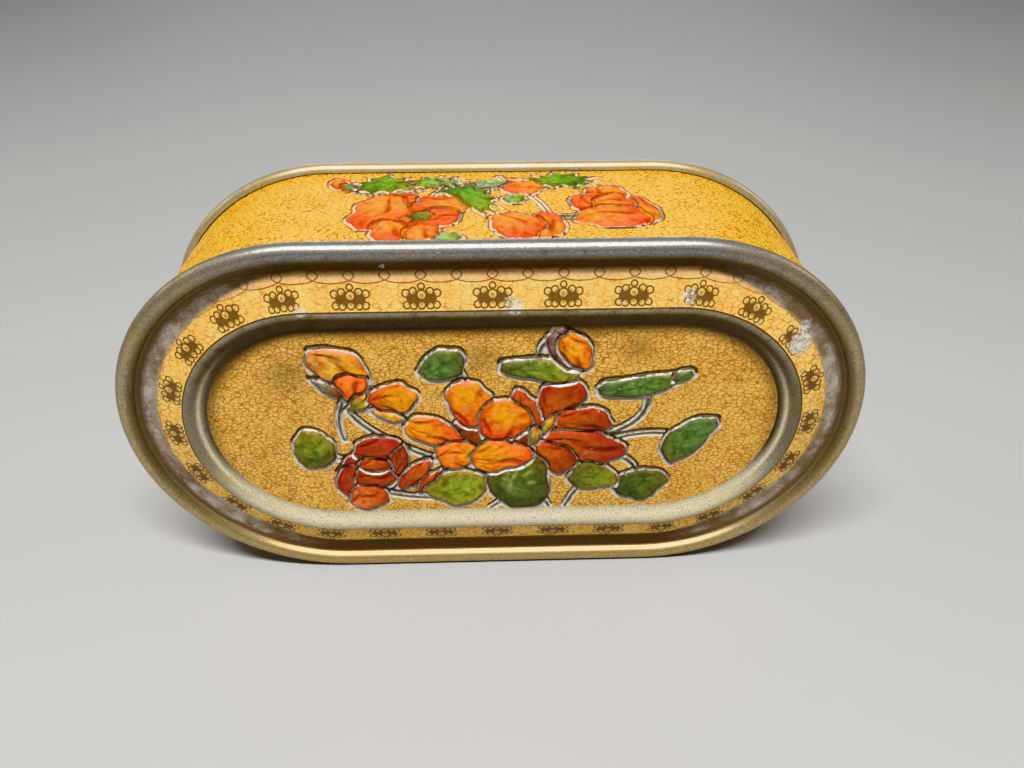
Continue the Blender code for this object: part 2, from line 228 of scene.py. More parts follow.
def set_table():
    """A wide pale table top under the tin."""
    bpy.ops.mesh.primitive_plane_add(size=TABLE_SIZE, location=(0, 0, cad_low[2]))
    table = bpy.context.object
    table.name = "table"
    material, net, shader = new_material("pale_table")
    net.fill(shader, {"Base Color": TABLE_COLOUR, "Roughness": 0.7})
    table.data.materials.append(material)
    table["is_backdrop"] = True
    return table


def hang_lamps():
    """Area lamps, each turned to face the middle of the tin."""
    for lamp in LAMPS:
        light = bpy.data.lights.new(lamp.name, "AREA")
        light.shape = "RECTANGLE"
        light.size, light.size_y = lamp.size
        light.energy = lamp.power
        holder = bpy.data.objects.new(lamp.name, light)
        holder.location = lamp.place
        aim = Vector(TIN_MIDDLE) - Vector(lamp.place)
        holder.rotation_euler = aim.to_track_quat("-Z", "Y").to_euler()
        bpy.context.scene.collection.objects.link(holder)


def set_world():
    """An even grey room."""
    world = bpy.data.worlds.new("room")
    world.use_nodes = True
    background = world.node_tree.nodes["Background"]
    background.inputs["Color"].default_value = ROOM_COLOUR
    background.inputs["Strength"].default_value = WORLD_LIGHT
    bpy.context.scene.world = world


table = set_table()
hang_lamps()
set_world()
bpy.context.scene.view_settings.view_transform = "Khronos PBR Neutral"
print("lamps", [lamp.name for lamp in LAMPS])

# %% [markdown]
# Seen from the lid, the tin is an oval: two half circles joined by straight runs.
# Any line that runs round it at a constant distance is fixed by one number, its reach, which is
# its distance from the straight line between the middles of the half circles. So a point of the
# tin is a column round the oval, a reach, and a height in front of the middle of the lid's bead.
# All lengths in these formulas are in millimetres, and one function turns them into places.

# %% The oval and the upright pose
MM = 0.001
HALF_LENGTH = (cad_high[0] - cad_low[0]) / 2 / MM
RIM_REACH = (cad_high[2] - cad_low[2]) / 2 / MM
HALF_STRAIGHT = HALF_LENGTH - RIM_REACH
PATTERN_REACH = 53.95
PATTERN_COUNT = 28
RIM_STEPS = (144, 72)

Columns = namedtuple("Columns", "centre angle period")


def oval_columns(straight_steps, turn_steps):
    """The columns of a grid round the oval, clockwise from the middle of its top.

    A column on a straight run has a moving centre and looks straight up or down. A column on a half
    circle has the half circle's centre and a turning angle. Its period counts repeats of the
    border pattern: the length so far at the pattern's reach over the length of one repeat.
    """
    half_steps = straight_steps // 2
    run = HALF_STRAIGHT * np.arange(half_steps) / half_steps
    turn = np.pi * np.arange(turn_steps) / turn_steps
    whole = HALF_STRAIGHT * (2 * np.arange(straight_steps) / straight_steps - 1)
    top = np.pi / 2
    centre = np.concatenate([
        run, np.full(turn_steps, HALF_STRAIGHT), -whole,
        np.full(turn_steps, -HALF_STRAIGHT), run - HALF_STRAIGHT,
    ])
    angle = np.concatenate([
        np.full(half_steps, top), top - turn, np.full(straight_steps, -top),
        -top - turn, np.full(half_steps, top - 2 * np.pi),
    ])
    steps = np.abs(np.diff(centre)) + PATTERN_REACH * np.abs(np.diff(angle))
    length = np.concatenate([[0.0], np.cumsum(steps)])
    round_length = 4 * HALF_STRAIGHT + 2 * np.pi * PATTERN_REACH
    return Columns(centre, angle, length / round_length * PATTERN_COUNT)


def oval_points(columns, reach, height):
    """A grid of points: centre plus reach along the column's angle, at a height in front."""
    x = columns.centre[:, None] + reach[None, :] * np.cos(columns.angle)[:, None]
    y = reach[None, :] * np.sin(columns.angle)[:, None]
    z = np.broadcast_to(height, x.shape)
    return np.stack([x, y, z], axis=-1)


def stand_up(points, front_height):
    """Millimetres in front of the lid as metres in the frame: the lid faces -Y, its top is +Z."""
    x, y, z = np.moveaxis(points, -1, 0)
    front = cad_low[1] + (front_height - z) * MM
    middle = (cad_low[2] + cad_high[2]) / 2
    return np.stack([x * MM, front, middle + y * MM], axis=-1)


rim_columns = oval_columns(*RIM_STEPS)
print(len(rim_columns.centre), "columns, straight runs of", round(2 * HALF_STRAIGHT, 2), "mm")

# %% [markdown]
# Tinplate is a thin sheet, so each piece has a front, a back and an edge.
# Solidify could thicken the front, but the back needs far fewer faces than the painted front.
# So the back is every second or fourth point of the same grid, moved in along the normals, and
# triangles sew the two edges together. Points that fall on each other, as along the middle line
# of the lid, are merged by rounding their places.

# %% Make a pressed sheet from a grid
SHEET = 0.35
MERGE_DIGITS = 5
SHARP_ANGLE = math.radians(62)


def grid_normals(points):
    """Unit normals: the step round the oval crossed with the step along the section."""
    round_step = np.roll(points, -1, axis=0) - np.roll(points, 1, axis=0)
    normals = np.cross(round_step, np.gradient(points, axis=1))
    length = np.linalg.norm(normals, axis=-1, keepdims=True)
    normals = normals / np.maximum(length, 1e-9)
    flat = length[..., 0] < 1e-9
    normals[:, 0][flat[:, 0]] = normals[:, 1][flat[:, 0]]
    normals[:, -1][flat[:, -1]] = normals[:, -2][flat[:, -1]]
    return normals


def quad_faces(ids, flip):
    """Four corners for each cell of a grid that closes round the oval."""
    ahead = np.roll(ids, -1, axis=0)
    corners = [ids[:, :-1], ahead[:, :-1], ahead[:, 1:], ids[:, 1:]]
    faces = np.stack(corners, axis=-1).reshape(-1, 4)
    return faces[:, ::-1] if flip else faces


def sewn_edge(front, back, flip):
    """Triangles between a fine edge and a coarse one that has every n-th of its points.

    Each fine step points at the nearest coarse point, and each coarse step points at the fine
    point half way along it.
    """
    every = len(front) // len(back)
    steps = np.arange(len(front))
    nearest = ((steps + 0.5 + every / 2) // every).astype(int) % len(back)
    fine = np.stack([front, np.roll(front, -1), back[nearest]], axis=-1)
    coarse = np.stack([np.roll(back, -1), back, front[every // 2::every]], axis=-1)
    faces = np.concatenate([fine, coarse])
    return faces[:, ::-1] if flip else faces


def drop_doubles(quads, same):
    """Put merged corners into quads: those that lose a corner become triangles."""
    quads = same[quads]
    flat = [quads[:, k] == quads[:, (k + 1) % 4] for k in range(4)]
    lost = np.stack(flat, axis=-1)
    whole = ~lost.any(axis=-1)
    rests = [quads[lost[:, k] & (lost.sum(axis=-1) == 1)] for k in range(4)]
    tris = [np.delete(rest, k, axis=1) for k, rest in enumerate(rests)]
    return quads[whole], np.concatenate(tris)


def pressed_sheet(name, points, columns, across, fields, materials, every=2, closed=(True, True)):
    """Make a piece from a grid of points, with a coarser back one sheet behind it.

    across is each row's place over the sheet, for the texture map. fields are numbers or colours
    for each point of the front, kept as attributes. closed says which ends of the sheet have an
    edge to sew, because at the middle of a plate the sheet runs on.
    """
    n, m = points.shape[:2]
    normals = grid_normals(points)
    rows = np.unique(np.append(np.arange(0, m, every), m - 1))
    behind = points[::every][:, rows] - SHEET * normals[::every][:, rows]
    front_ids = np.arange(n * m).reshape(n, m)
    back_ids = n * m + np.arange(behind.shape[0] * len(rows)).reshape(-1, len(rows))
    places = np.concatenate([points.reshape(-1, 3), behind.reshape(-1, 3)])
    _, first, same = np.unique(
        np.round(places, MERGE_DIGITS), axis=0, return_index=True, return_inverse=True
    )
    same = same.reshape(-1)
    front_quads, front_tris = drop_doubles(quad_faces(front_ids, False), same)
    back_quads, back_tris = drop_doubles(quad_faces(back_ids, True), same)
    edges = []
    if closed[0]:
        edges.append(sewn_edge(front_ids[:, 0], back_ids[:, 0], True))
    if closed[1]:
        edges.append(sewn_edge(front_ids[:, -1], back_ids[:, -1], False))
    edge_tris = same[np.concatenate(edges)] if edges else np.zeros((0, 3), int)
    blocks = [front_quads, front_tris, back_quads, back_tris, edge_tris]
    faces = [face for block in blocks for face in block.tolist()]
    mesh = bpy.data.meshes.new(name)
    mesh.from_pydata(stand_up(places[first], FRONT_HEIGHT).tolist(), [], faces)
    inside = np.repeat([0, 0, 1, 1, 1], [len(block) for block in blocks])
    mesh.polygons.foreach_set("material_index", inside.astype(np.int32))
    set_map(mesh, columns, across, rows, every, first)
    for field, values in fields.items():
        set_field(mesh, field, values, len(places), first)
    mesh.validate()
    mesh.shade_smooth()
    mesh.set_sharp_from_angle(angle=SHARP_ANGLE)
    for material in materials:
        mesh.materials.append(material)
    piece = bpy.data.objects.new(name, mesh)
    bpy.context.scene.collection.objects.link(piece)
    triangles = sum(len(face) - 2 for face in faces)
    print(name, "has", len(first), "points and", triangles, "triangles")
    return piece


def set_map(mesh, columns, across, rows, every, first):
    """A texture map: repeats of the pattern round the oval, and millimetres over the sheet.

    The last column's faces reach past the end of the pattern, so a corner that starts a new round
    while the rest of its face is at the end is moved on by a whole round.
    """
    n, m = len(columns.period), len(across)
    front = np.stack(np.meshgrid(columns.period, across, indexing="ij"), axis=-1)
    places = np.concatenate([front.reshape(-1, 2), front[::every][:, rows].reshape(-1, 2)])
    corners = np.empty(len(mesh.loops), dtype=np.int32)
    mesh.loops.foreach_get("vertex_index", corners)
    uv = places[first][corners]
    starts = np.empty(len(mesh.polygons), dtype=np.int32)
    mesh.polygons.foreach_get("loop_start", starts)
    highest = np.maximum.reduceat(uv[:, 0], starts)
    totals = np.diff(np.append(starts, len(corners)))
    far = np.repeat(highest, totals) - uv[:, 0] > PATTERN_COUNT / 2
    uv[far, 0] += PATTERN_COUNT
    layer = mesh.uv_layers.new(name="round_and_across")
    layer.data.foreach_set("uv", uv.astype(np.float32).reshape(-1))


def set_field(mesh, field, values, total, first):
    """Keep a value for each point as an attribute. Points of the back have none."""
    flat = values.reshape(-1, values.shape[-1]) if values.ndim == 3 else values.reshape(-1, 1)
    whole = np.zeros((total, flat.shape[1]))
    whole[:len(flat)] = flat
    kind, slot = ("FLOAT_COLOR", "color") if flat.shape[1] == 4 else ("FLOAT", "value")
    attribute = mesh.attributes.new(field, kind, "POINT")
    attribute.data.foreach_set(slot, whole[first].astype(np.float32).reshape(-1))


# %% [markdown]
# The lid's section is drawn once and carried round the oval.
# From the sunk panel it climbs a rounded roll, drops a hair's breadth to the printed border, falls
# along it into a hollow, and turns up into the fat outer bead. Behind the bead the sheet folds
# back and goes down inside the wall as a skirt.

# %% The lid's section
LID_BEAD_RADIUS = 2.8
WALL_INSET = 2.65
CLEARANCE = 0.3
SKIRT_DEPTH = 8.2
BORDER_WIDTH = 14.2
BORDER_DROP = 2.5
BORDER_LOW = 0.03
HOLLOW_SHARE = 0.6
ROLL_STEP = 0.18
ROLL_TOP_WIDTH = 0.75
ROLL_SLOPE_WIDTH = 5.8
ROLL_RISE = 2.55
PANEL_LEVEL = 0.7

LID_BEAD_REACH = RIM_REACH - LID_BEAD_RADIUS
WALL_REACH = RIM_REACH - WALL_INSET
SKIRT_REACH = WALL_REACH - SHEET - CLEARANCE
FRONT_HEIGHT = PANEL_LEVEL + ROLL_RISE


def border_height(share):
    """The border's height: a straight fall, then a parabola that turns it up to the bead."""
    fall = BORDER_DROP / HOLLOW_SHARE
    half_hollow = (1 - HOLLOW_SHARE) / 2
    foot = fall * half_hollow / 2
    straight = BORDER_LOW + foot + BORDER_DROP - fall * share
    off_middle = (share - HOLLOW_SHARE - half_hollow) / half_hollow
    return np.where(share < HOLLOW_SHARE, straight, BORDER_LOW + foot * off_middle ** 2)


BEAD_ANGLE = 180 - math.degrees(math.asin(float(border_height(1.0)) / LID_BEAD_RADIUS))
BORDER_END = LID_BEAD_REACH + LID_BEAD_RADIUS * math.cos(math.radians(BEAD_ANGLE))
BORDER_START = BORDER_END - BORDER_WIDTH
ROLL_OUTER = BORDER_START - ROLL_STEP
ROLL_CREST = ROLL_OUTER - ROLL_TOP_WIDTH
PANEL_EDGE = ROLL_CREST - ROLL_SLOPE_WIDTH


def arc(centre, radii, start, end, steps):
    """Reach and height along an ellipse arc between two angles in degrees."""
    angles = np.radians(np.linspace(start, end, steps + 1))
    return np.stack([centre[0] + radii[0] * np.cos(angles), centre[1] + radii[1] * np.sin(angles)], -1)


ROLL_POINTS, TOP_POINTS, BORDER_POINTS = 23, 5, 27
BEAD_STEPS, UNDERSIDE_STEPS = 15, 8


def rim_section():
    """Reach and height from the panel's edge, over roll, border and bead, to the skirt's end."""
    share = np.linspace(0, 1, ROLL_POINTS)
    roll_height = PANEL_LEVEL + ROLL_RISE * (1 - np.cos(np.pi * share)) / 2
    roll = np.stack([PANEL_EDGE + ROLL_SLOPE_WIDTH * share, roll_height], -1)
    over = np.linspace(0, 1, TOP_POINTS)[1:]
    top_fall = FRONT_HEIGHT - border_height(0.0) - ROLL_STEP
    top = np.stack([ROLL_CREST + ROLL_TOP_WIDTH * over, FRONT_HEIGHT - top_fall * over ** 2], -1)
    share = np.linspace(0, 1, BORDER_POINTS)
    border = np.stack([BORDER_START + BORDER_WIDTH * share, border_height(share)], -1)
    fold = -math.degrees(math.acos((SKIRT_REACH - LID_BEAD_REACH) / LID_BEAD_RADIUS))
    radii = (LID_BEAD_RADIUS, LID_BEAD_RADIUS)
    bead = arc((LID_BEAD_REACH, 0.0), radii, BEAD_ANGLE, 0, BEAD_STEPS)[1:]
    underside = arc((LID_BEAD_REACH, 0.0), radii, 0, fold, UNDERSIDE_STEPS)[1:]
    skirt = np.array([[SKIRT_REACH, -LID_BEAD_RADIUS - SKIRT_DEPTH]])
    return np.concatenate([roll, top, border, bead, underside, skirt])


lid_section = rim_section()
print("lid section of", len(lid_section), "points, panel edge at", round(PANEL_EDGE, 2), "mm")

# %% [markdown]
# The flowers and leaves were stamped into the sheet and then lacquered in clear colours.
# Each petal, leaf or bud is an oval about its own middle, given a wide end, pointed ends, a bend or
# a lobed edge. One formula turns any point of the sheet into a share of the way from the oval's
# middle to its outline, and everything else is read from that share: height, colour and outline.
# The cosine of a multiple of the angle gives round lobes, and the absolute value of a sine gives
# the pointed teeth of a poppy's leaf.

# %% Ovals for petals, leaves and buds
Motif = namedtuple(
    "Motif", "x y long wide turn egg point bend lobes wave teeth",
    defaults=(0.0, 0.0, 0.0, 0, 0.0, 0.0),
)
Stem = namedtuple("Stem", "start knee end wide")
Shape = namedtuple("Shape", "share distance along across out_x out_y")
GRADIENT_STEP = 0.02
SPREAD = 1.07
FARTHEST = 1.25
FREE_WAVES = [(2, 0.035), (3, 0.05), (5, 0.035), (8, 0.022)]


def free_edge(motif, angle):
    """A hand-cut edge: a few waves of the angle, each motif's own by its place on the sheet."""
    edge = np.full(angle.shape, SPREAD)
    for lobes, wave in FREE_WAVES:
        edge = edge + wave * np.cos(lobes * angle + motif.x * lobes + 1.7 * motif.y)
    return edge


def motif_shares(motif, x, y):
    """Share of the way to the outline, and the place along and across the motif.

    Turn the point into the motif's own directions, undo its bend, divide by its half length and
    by its half width there, and divide by the waves and teeth of its edge.
    """
    turn = math.radians(motif.turn)
    along = ((x - motif.x) * math.cos(turn) + (y - motif.y) * math.sin(turn)) / (motif.long / 2)
    near = np.clip(along, -FARTHEST, FARTHEST)
    width = (1 + motif.egg * near) * (1 - motif.point * near ** 2) * motif.wide / 2
    side = (y - motif.y) * math.cos(turn) - (x - motif.x) * math.sin(turn)
    across = (side - motif.bend * near ** 2) / width
    angle = np.arctan2(across, along)
    edge = free_edge(motif, angle) + motif.wave * np.cos(motif.lobes * angle)
    edge = edge - motif.teeth * np.abs(np.sin(motif.lobes * angle / 2))
    return np.hypot(along, across) / edge, along, across


def motif_shape(motif, x, y):
    """A motif at many points, with the distance to its outline in millimetres.

    The distance is the share's lead over 1, divided by how fast the share grows there, and the
    direction in which it grows points out of the motif.
    """
    share, along, across = motif_shares(motif, x, y)
    grow_x = (motif_shares(motif, x + GRADIENT_STEP, y)[0] - share) / GRADIENT_STEP
    grow_y = (motif_shares(motif, x, y + GRADIENT_STEP)[0] - share) / GRADIENT_STEP
    growth = np.maximum(np.hypot(grow_x, grow_y), 1e-4)
    return Shape(share, (share - 1) / growth, along, across, grow_x / growth, grow_y / growth)


STEM_STEPS = 14
STEM_CORE = 0.62


def stem_shape(stem, x, y):
    """A stem at many points: the nearest place on a curve drawn towards its knee.

    The curve is cut into short straight steps. For each, the nearest point on it is found, and
    the smallest distance of all, less half the stem's width, is the distance to the stem.
    """
    t = np.linspace(0, 1, STEM_STEPS + 1)[:, None]
    line = (1 - t) ** 2 * np.array(stem.start) + 2 * t * (1 - t) * np.array(stem.knee)
    line = line + t ** 2 * np.array(stem.end)
    best = np.full(x.shape, np.inf)
    out_x, out_y = np.zeros(x.shape), np.zeros(x.shape)
    along = np.zeros(x.shape)
    for step, (a, b) in enumerate(zip(line, line[1:])):
        dx, dy = b - a
        s = np.clip(((x - a[0]) * dx + (y - a[1]) * dy) / (dx * dx + dy * dy), 0, 1)
        off_x, off_y = x - a[0] - s * dx, y - a[1] - s * dy
        gap = np.hypot(off_x, off_y)
        closer = gap < best
        best = np.where(closer, gap, best)
        out_x = np.where(closer, off_x / np.maximum(gap, 1e-6), out_x)
        out_y = np.where(closer, off_y / np.maximum(gap, 1e-6), out_y)
        along = np.where(closer, 2 * (step + s) / STEM_STEPS - 1, along)
    half = stem.wide * STEM_CORE / 2
    return Shape(best / half, best - half, along, best / half, out_x, out_y)


# %% [markdown]
# Clear lacquers over bright tin run from dark pools in the hollows to pale crests, and each
# motif's dark edge and pale crown are partly painted shade and painted highlight.
# Each motif gets two colours, one at its back end and one at its front end, and the kind of marks
# pressed into it: fan-shaped creases in a petal, veins in a leaf. A short function for each kind
# keeps a row of the drawing down to what differs.

# %% The lid's drawing and its lacquers
LACQUERS = pigments(
    amber=(230, 158, 14), gold=(232, 182, 70), orange=(240, 130, 30), flame=(228, 92, 22),
    rust=(156, 64, 22), brick=(158, 64, 32), crimson=(172, 56, 34), peach=(208, 120, 72),
    umber=(128, 74, 34), pewter=(138, 128, 108), ochre=(212, 166, 84), olive=(104, 108, 44),
    moss=(142, 142, 46), lime=(150, 158, 52), fern=(106, 122, 58), teal=(98, 126, 70),
    sage=(128, 146, 110), pine=(74, 88, 42), vermilion=(232, 106, 0), coral=(238, 158, 10),
    leaf=(130, 158, 42), mist=(158, 176, 120), ember=(190, 90, 28), bottle=(88, 124, 36),
)

Painted = namedtuple("Painted", "motif back front marks")


def painted(marks, x, y, long, wide, turn, back, front, **edge):
    """One motif: an oval's middle, length, width and turn, its two lacquers, and its edge."""
    return Painted(Motif(x, y, long, wide, turn, **edge), back, front, marks)


petal, leaf, veined_leaf, bud = (
    partial(painted, marks) for marks in ("petal", "leaf", "veined", "bud")
)

LID_SPRAY = [
    # dark hearts, under the petals of the three open flowers
    petal(-2.0, -3.0, 26.0, 20.0, 10, "umber", "rust"),
    petal(17.0, -4.0, 22.0, 18.0, 20, "brick", "umber"),
    petal(-41.6, -19.6, 17.0, 19.0, 80, "umber", "brick"),
    # trumpet flower, its sepals and the small flower beside it
    petal(-45.6, 22.6, 20.6, 12.6, -38, "ochre", "amber", egg=-0.1, point=0.2),
    petal(-43.4, 15.4, 11.0, 9.0, 78, "flame", "orange", egg=0.25),
    bud(-50.0, 15.4, 10.5, 4.0, -38, "pewter", "umber", point=0.3),
    bud(-40.6, 10.2, 10.0, 5.6, 30, "olive", "gold", point=0.3),
    petal(-31.6, 11.4, 14.0, 11.0, 4, "ember", "amber", egg=0.35, lobes=6, wave=0.04),
    bud(-33.0, 4.6, 10.0, 3.6, -24, "ochre", "gold", point=0.2),
    # red flower at the lower left
    petal(-36.8, -9.4, 17.0, 11.0, -8, "brick", "crimson", egg=0.1, bend=-1.0),
    petal(-31.4, -14.4, 12.0, 6.4, 76, "brick", "rust", point=0.2),
    petal(-47.4, -22.6, 15.0, 9.6, 66, "crimson", "brick", egg=-0.1),
    petal(-40.0, -21.6, 13.0, 9.2, 5, "rust", "brick"),
    petal(-39.4, -15.8, 10.0, 5.8, 0, "ember", "rust"),
    petal(-43.0, -30.6, 12.6, 11.4, 20, "peach", "ember"),
    petal(-26.6, -20.6, 15.5, 7.4, 48, "brick", "ember", egg=-0.1, point=0.3),
    petal(-22.0, -24.2, 12.6, 5.4, 52, "brick", "ember", point=0.3),
    # golden flower in the middle
    petal(-19.2, -2.4, 18.6, 10.6, -20, "amber", "flame", egg=-0.25, point=0.15),
    petal(-7.6, 8.4, 17.0, 13.4, 96, "flame", "amber", egg=0.2, lobes=3, wave=0.04),
    petal(10.6, 4.8, 19.0, 8.6, -62, "ember", "brick", egg=0.1, bend=1.0),
    petal(2.6, 1.8, 16.0, 15.4, 70, "flame", "amber", egg=0.15, lobes=5, wave=0.04),
    petal(-12.4, -12.0, 14.0, 11.4, 8, "orange", "amber", lobes=3, wave=0.05),
    # rust flower to its right
    petal(20.2, 9.6, 15.8, 13.4, 60, "ember", "rust", egg=0.3, lobes=3, wave=0.05),
    petal(27.4, 1.2, 18.0, 10.6, -4, "ember", "rust", egg=0.15),
    petal(28.2, -9.6, 27.0, 12.8, -13, "ember", "brick", egg=0.1),
    petal(19.4, -14.0, 15.8, 10.4, -44, "ember", "rust", egg=0.1),
    bud(16.4, -0.6, 10.0, 3.0, 62, "moss", "gold"),
    bud(12.6, -4.6, 7.0, 3.6, 80, "moss", "ochre"),
    # leaves round the flowers
    leaf(-58.0, -8.8, 15.4, 13.4, 98, "olive", "moss", lobes=5, wave=0.05),
    leaf(-15.6, 23.4, 14.4, 10.4, 28, "teal", "fern", egg=0.25, point=0.1),
    leaf(14.0, 21.4, 22.0, 8.6, -8, "fern", "moss", bend=-0.6, lobes=2, wave=0.06),
    leaf(44.2, 14.4, 25.0, 7.8, 9, "teal", "fern", egg=0.05, bend=1.2),
    bud(57.2, 18.4, 6.4, 4.0, 24, "fern", "teal"),
    leaf(61.6, -6.2, 20.6, 12.0, 50, "fern", "teal", egg=-0.2, bend=-2.2),
    leaf(48.4, -26.8, 16.6, 13.6, 20, "pine", "olive", lobes=4, wave=0.05),
    leaf(32.0, -22.8, 15.4, 12.0, -10, "olive", "moss", lobes=3, wave=0.05),
    leaf(-12.8, -27.0, 19.4, 14.6, 8, "moss", "lime", lobes=4, wave=0.05),
    veined_leaf(7.8, -24.2, 24.6, 20.4, 94, "pine", "olive", lobes=5, wave=0.03),
    petal(1.4, -13.0, 18.6, 12.8, 4, "amber", "orange", lobes=3, wave=0.06),
    # bud at the top, in its grey cup
    petal(21.4, 28.6, 17.0, 9.4, -60, "pewter", "umber", point=0.2),
    petal(24.4, 27.8, 14.0, 8.6, -54, "amber", "orange", egg=-0.1, point=0.15),
]

LID_STEMS = [
    Stem((-46.2, 11.5), (-50.0, 3.0), (-47.8, -4.6), 2.4),
    Stem((-45.0, 7.0), (-41.0, -3.0), (-18.4, -14.0), 2.6),
    Stem((-55.0, -11.6), (-49.0, -13.8), (-43.0, -12.0), 2.2),
    Stem((-40.4, -27.0), (-30.0, -31.6), (-17.0, -31.0), 2.4),
    Stem((-12.0, 24.8), (-8.8, 20.0), (-7.6, 14.4), 2.4),
    Stem((13.6, 23.4), (12.0, 32.6), (19.6, 33.2), 2.6),
    Stem((46.8, 13.2), (50.0, 1.0), (34.4, -4.6), 2.8),
    Stem((57.6, -4.8), (47.0, -2.4), (36.4, -7.0), 2.2),
    Stem((37.4, -13.2), (45.6, -14.4), (47.2, -23.0), 2.6),
    Stem((3.6, -31.4), (0.6, -34.4), (-1.8, -36.2), 2.4),
    Stem((14.4, -29.4), (16.8, -33.4), (17.8, -36.2), 2.4),
    Stem((28.8, -25.6), (25.0, -31.0), (23.4, -36.2), 2.6),
]
print(len(LID_SPRAY), "painted motifs and", len(LID_STEMS), "stems on the lid")

# %% [markdown]
# A press cannot make a cliff: round each raised motif the sheet first dips into a narrow groove and
# then swells up to a cushion. The groove catches a bright line below each motif and a dark one above
# it, and both are painted in as well: a painted highlight below, and on the lid a painted shadow line
# above. This is what draws the flowers at a glance. Motifs are laid one after another, and each
# later one presses its groove into those under it.

# %% Lay the motifs on a sheet
GROOVE_WIDTH = 1.0
GROOVE_DEPTH = 0.55
UNDER_SHARE = 0.6
SHOULDER = 1.4
CROWN_FALL = 0.30
SILVER_WIDTH = 0.52
SILVER_HIGHLIGHT_SHIFT = 0.42
SILVER_GAP = 0.1
SILVER_TAPER = 0.08
SILVER_HIGHLIGHT_FADE = 0.5
SHADOW_LINE_WIDTH = 0.46
SHADOW_LINE_SHIFT = 0.95
PRINT_GAP = 0.7
PRINT_WIDTH = 0.34
CREASE_DEPTH = 0.36
EDGE_POOL_SHADE, CREST_HIGHLIGHT = 0.5, 0.58
EDGE_GREEN, MIDDLE_GREEN = 0.64, 0.58
PAINT_EDGE = 0.35
NEAR_SHARE, NEAR_MARGIN = 0.65, 4
HOLLOW_TINTS = {
    "petal": (0.50, 0.24, 0.20), "leaf": (0.55, 0.62, 0.55), "veined": (2.4, 2.1, 3.2),
    "bud": (0.6, 0.5, 0.4), "stem": (0.35, 0.35, 0.35),
}


def ease(value):
    """Rise from 0 to 1 with a soft start and a soft end."""
    value = np.clip(value, 0, 1)
    return value * value * (3 - 2 * value)


def bump(value, width):
    """A bell: 1 where the value is 0, falling away over the width."""
    return np.exp(-(value / width) ** 2)


def petal_marks(shape):
    """Creases that fan out from the back end of a petal: waves of the angle seen from there."""
    own = 3.1 * np.mean(shape.out_x) + 40 * np.std(shape.along)
    fan = np.arctan2(shape.across + 0.12 * np.sin(4 * shape.along + own), shape.along + 1.35)
    waves = np.sin(6 * fan + own) + 0.9 * np.sin(11 * fan - own + 2.6 * shape.along)
    waves = waves + 0.6 * np.sin(19 * fan + 2 * own - 2 * shape.along)
    return ease(waves / 2.1) * ease((1.05 - shape.share) * 3)


def leaf_marks(shape):
    """A fold down the middle of a leaf and soft hollows that run from it to the edge."""
    ribs = np.sin(9 * shape.along - 5 * np.abs(shape.across) + 1)
    middle = bump(shape.across - 0.1 * np.sin(3 * shape.along), 0.10) * ease(0.9 - shape.along)
    return np.maximum(0.7 * middle, 0.55 * ease(ribs)) * ease((0.9 - shape.share) * 4)


def vein_marks(shape):
    """Pale veins that spread over the upper half of a big round leaf, as bells of the angle."""
    along = shape.along + 0.1
    angle = np.arctan2(shape.across - 0.35, along) / (2 * np.pi) * 13
    off = (angle - np.round(angle)) * np.hypot(shape.across - 0.35, along)
    fade = ease((shape.share - 0.12) * 6) * ease((0.62 - shape.share) * 6)
    return bump(off, 0.14) * fade * ease(1.0 + 1.2 * shape.along)


def bud_marks(shape):
    """One soft fold down the middle."""
    return bump(shape.across, 0.3) * 0.6


MARKS = {
    "petal": petal_marks, "leaf": leaf_marks, "veined": vein_marks, "bud": bud_marks, "stem": bud_marks,
}


